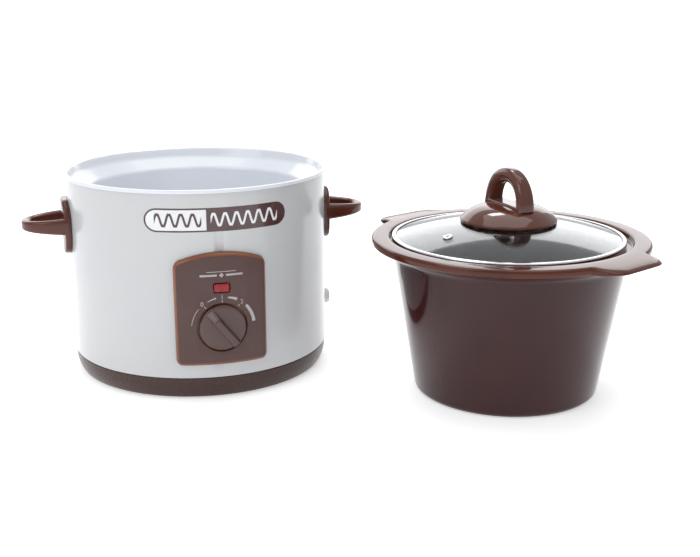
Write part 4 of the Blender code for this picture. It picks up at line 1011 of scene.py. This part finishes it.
vent_turn = Matrix.Rotation(VENT_ANGLE, 4, "Z") @ Matrix.Rotation(slope, 4, "Y")
carve(glass_piece, [drill("vent_hole", VENT_HOLE, -0.01, 0.01, vent_turn, vent_at)])
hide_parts("lid_glass")

polished_steel = finish("polished_steel", (0.62, 0.62, 0.63), (0.70, 0.70, 0.71), 0.10, 0.24, metallic=1.0,
                        drift_scale=40, smear=50, hairlines=700, wave=140, pit=1000, depth=0.00002)
eyelet = spun([
    (0.0015, -GLASS - 0.0009, 0.0002), (0.0037, -GLASS - 0.0009, 0.0002), (0.0037, -GLASS - GAP, 0),
    (VENT_HOLE - GAP, -GLASS - GAP, 0), (VENT_HOLE - GAP, 0.0006, 0), (0.0045, 0.0006, 0.0002),
    (0.0040, 0.0014, 0.0003), (0.0015, 0.0014, 0.0003)], 48, closed=True)
bmesh.ops.transform(eyelet, matrix=Matrix.Translation(vent_at) @ vent_turn, verts=eyelet.verts)
eyelet_piece = piece("vent_eyelet", eyelet, polished_steel, "lid")
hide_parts("vent_grommet")

band_radius = (band_high.x - band_low.x) / 2
BAND = 0.0005
lip = band_radius - 0.0036
band = spun([
    (lip, band_low.z, 0), (band_radius, band_low.z, 0.0006), (band_radius, band_high.z, 0.0012),
    (lip, dome(lip) + GAP + BAND, 0), (lip, dome(lip) + GAP, 0),
    (band_radius - BAND, band_high.z - BAND, 0.0004), (band_radius - BAND, band_low.z + BAND, 0.0003),
    (lip, band_low.z + BAND, 0)], 200, closed=True)
band_piece = piece("steel_band", band, polished_steel, "lid", lid_at)
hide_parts("lid_rim_band")

# ---------------------------------------------------------------- lid knob
# One glossy brown moulding: a wide skirt that hides its fixing, a rib across it, and a tall arch for two
# fingers. A steel screw holds it from under the glass, between two soft washers.
lid_knob_low, lid_knob_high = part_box("lid_knob")
skirt_radius = (lid_knob_high.x - lid_knob_low.x) / 2
skirt_edge = dome(skirt_radius) + 0.0011
crown = skirt_edge + 0.0150
SKIRT_WALL = 0.0028
ARCH_ANGLE = radians(-81)
ARCH_HALF = 0.0255
ARCH_BAR = 0.0110
ARCH_BAR_TOP = 0.0126
ARCH_WIDE = 0.0170
ARCH_WIDE_TOP = 0.0140
RIB_TALL = 0.0060
RIB_UP = 0.0015         # how far the rib's top stands above the skirt
boss_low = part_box("knob_washer")[1].z + GAP
skirt = spun([
    (0, boss_low, 0), (0.0080, boss_low, 0), (0.0080, crown - 0.0032, 0.0010),
    (0.6 * skirt_radius, crown - 0.0056, 0), (skirt_radius - SKIRT_WALL, skirt_edge, 0),
    (skirt_radius - 0.0003, skirt_edge, 0.0004), (skirt_radius, skirt_edge + 0.0022, 0.0010),
    (0.82 * skirt_radius, crown - 0.0060, 0.0040), (0.62 * skirt_radius, crown - 0.0018, 0.0040),
    (0.40 * skirt_radius, crown - 0.0002, 0.0040), (0, crown, 0)], 128)
rib = block((2 * ARCH_HALF + RIB_TALL, ARCH_WIDE, RIB_TALL), (0, 0, crown + RIB_UP - RIB_TALL / 2))
eased(rib, rib.edges[:], 0.0016, "EDGES", 3)
bmesh.ops.rotate(rib, verts=rib.verts, cent=(0, 0, 0), matrix=Matrix.Rotation(ARCH_ANGLE, 3, "Z"))


def arch_bar():
    """The arch: one rounded section carried over the curve, narrower and thicker at the top."""
    foot = crown - 0.0022
    places = []
    for along, up, turn, share in oval(ARCH_HALF, lid_knob_high.z - ARCH_BAR_TOP / 2 - foot, 0.92, 40):
        over = sin(pi * share)
        shape = Matrix.Diagonal((1 + (ARCH_BAR_TOP / ARCH_BAR - 1) * over,
                                 1 + (ARCH_WIDE_TOP / ARCH_WIDE - 1) * over, 1, 1))
        lean = Matrix.Rotation(pi / 2 - turn, 4, "Y")
        places.append(Matrix.Translation((along, 0, foot + up)) @ lean @ shape)
    bm = carried(ARCH_BAR, ARCH_WIDE, 0.0052, places)
    bmesh.ops.rotate(bm, verts=bm.verts, cent=(0, 0, 0), matrix=Matrix.Rotation(ARCH_ANGLE, 3, "Z"))
    return bm


lid_plastic = finish("lid_plastic", (0.085, 0.024, 0.013), (0.110, 0.033, 0.018), 0.05, 0.12, smear=50,
                     wave=60, pit=900, pit_share=0.15, depth=0.00001, coat=0.2, coat_rough=0.03, shine=0.42)
lid_knob_piece = piece("arched_knob", skirt, lid_plastic)
carve(lid_knob_piece, [piece("rib", rib), piece("arch", arch_bar())], "UNION")
carve(lid_knob_piece, [drill("screw_hole", 0.0023, boss_low - 0.005, boss_low + 0.0075)])
mount(lid_knob_piece, Matrix.Translation(lid_at), "lid")
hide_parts("lid_knob")

soft_washer = finish("soft_washer", (0.42, 0.42, 0.41), (0.55, 0.55, 0.53), 0.45, 0.70, wave=200, pit=1500,
                     depth=0.00006)
dress(soft_washer, "knob_washer", "knob_washer_under")
dress(polished_steel, "knob_screw")
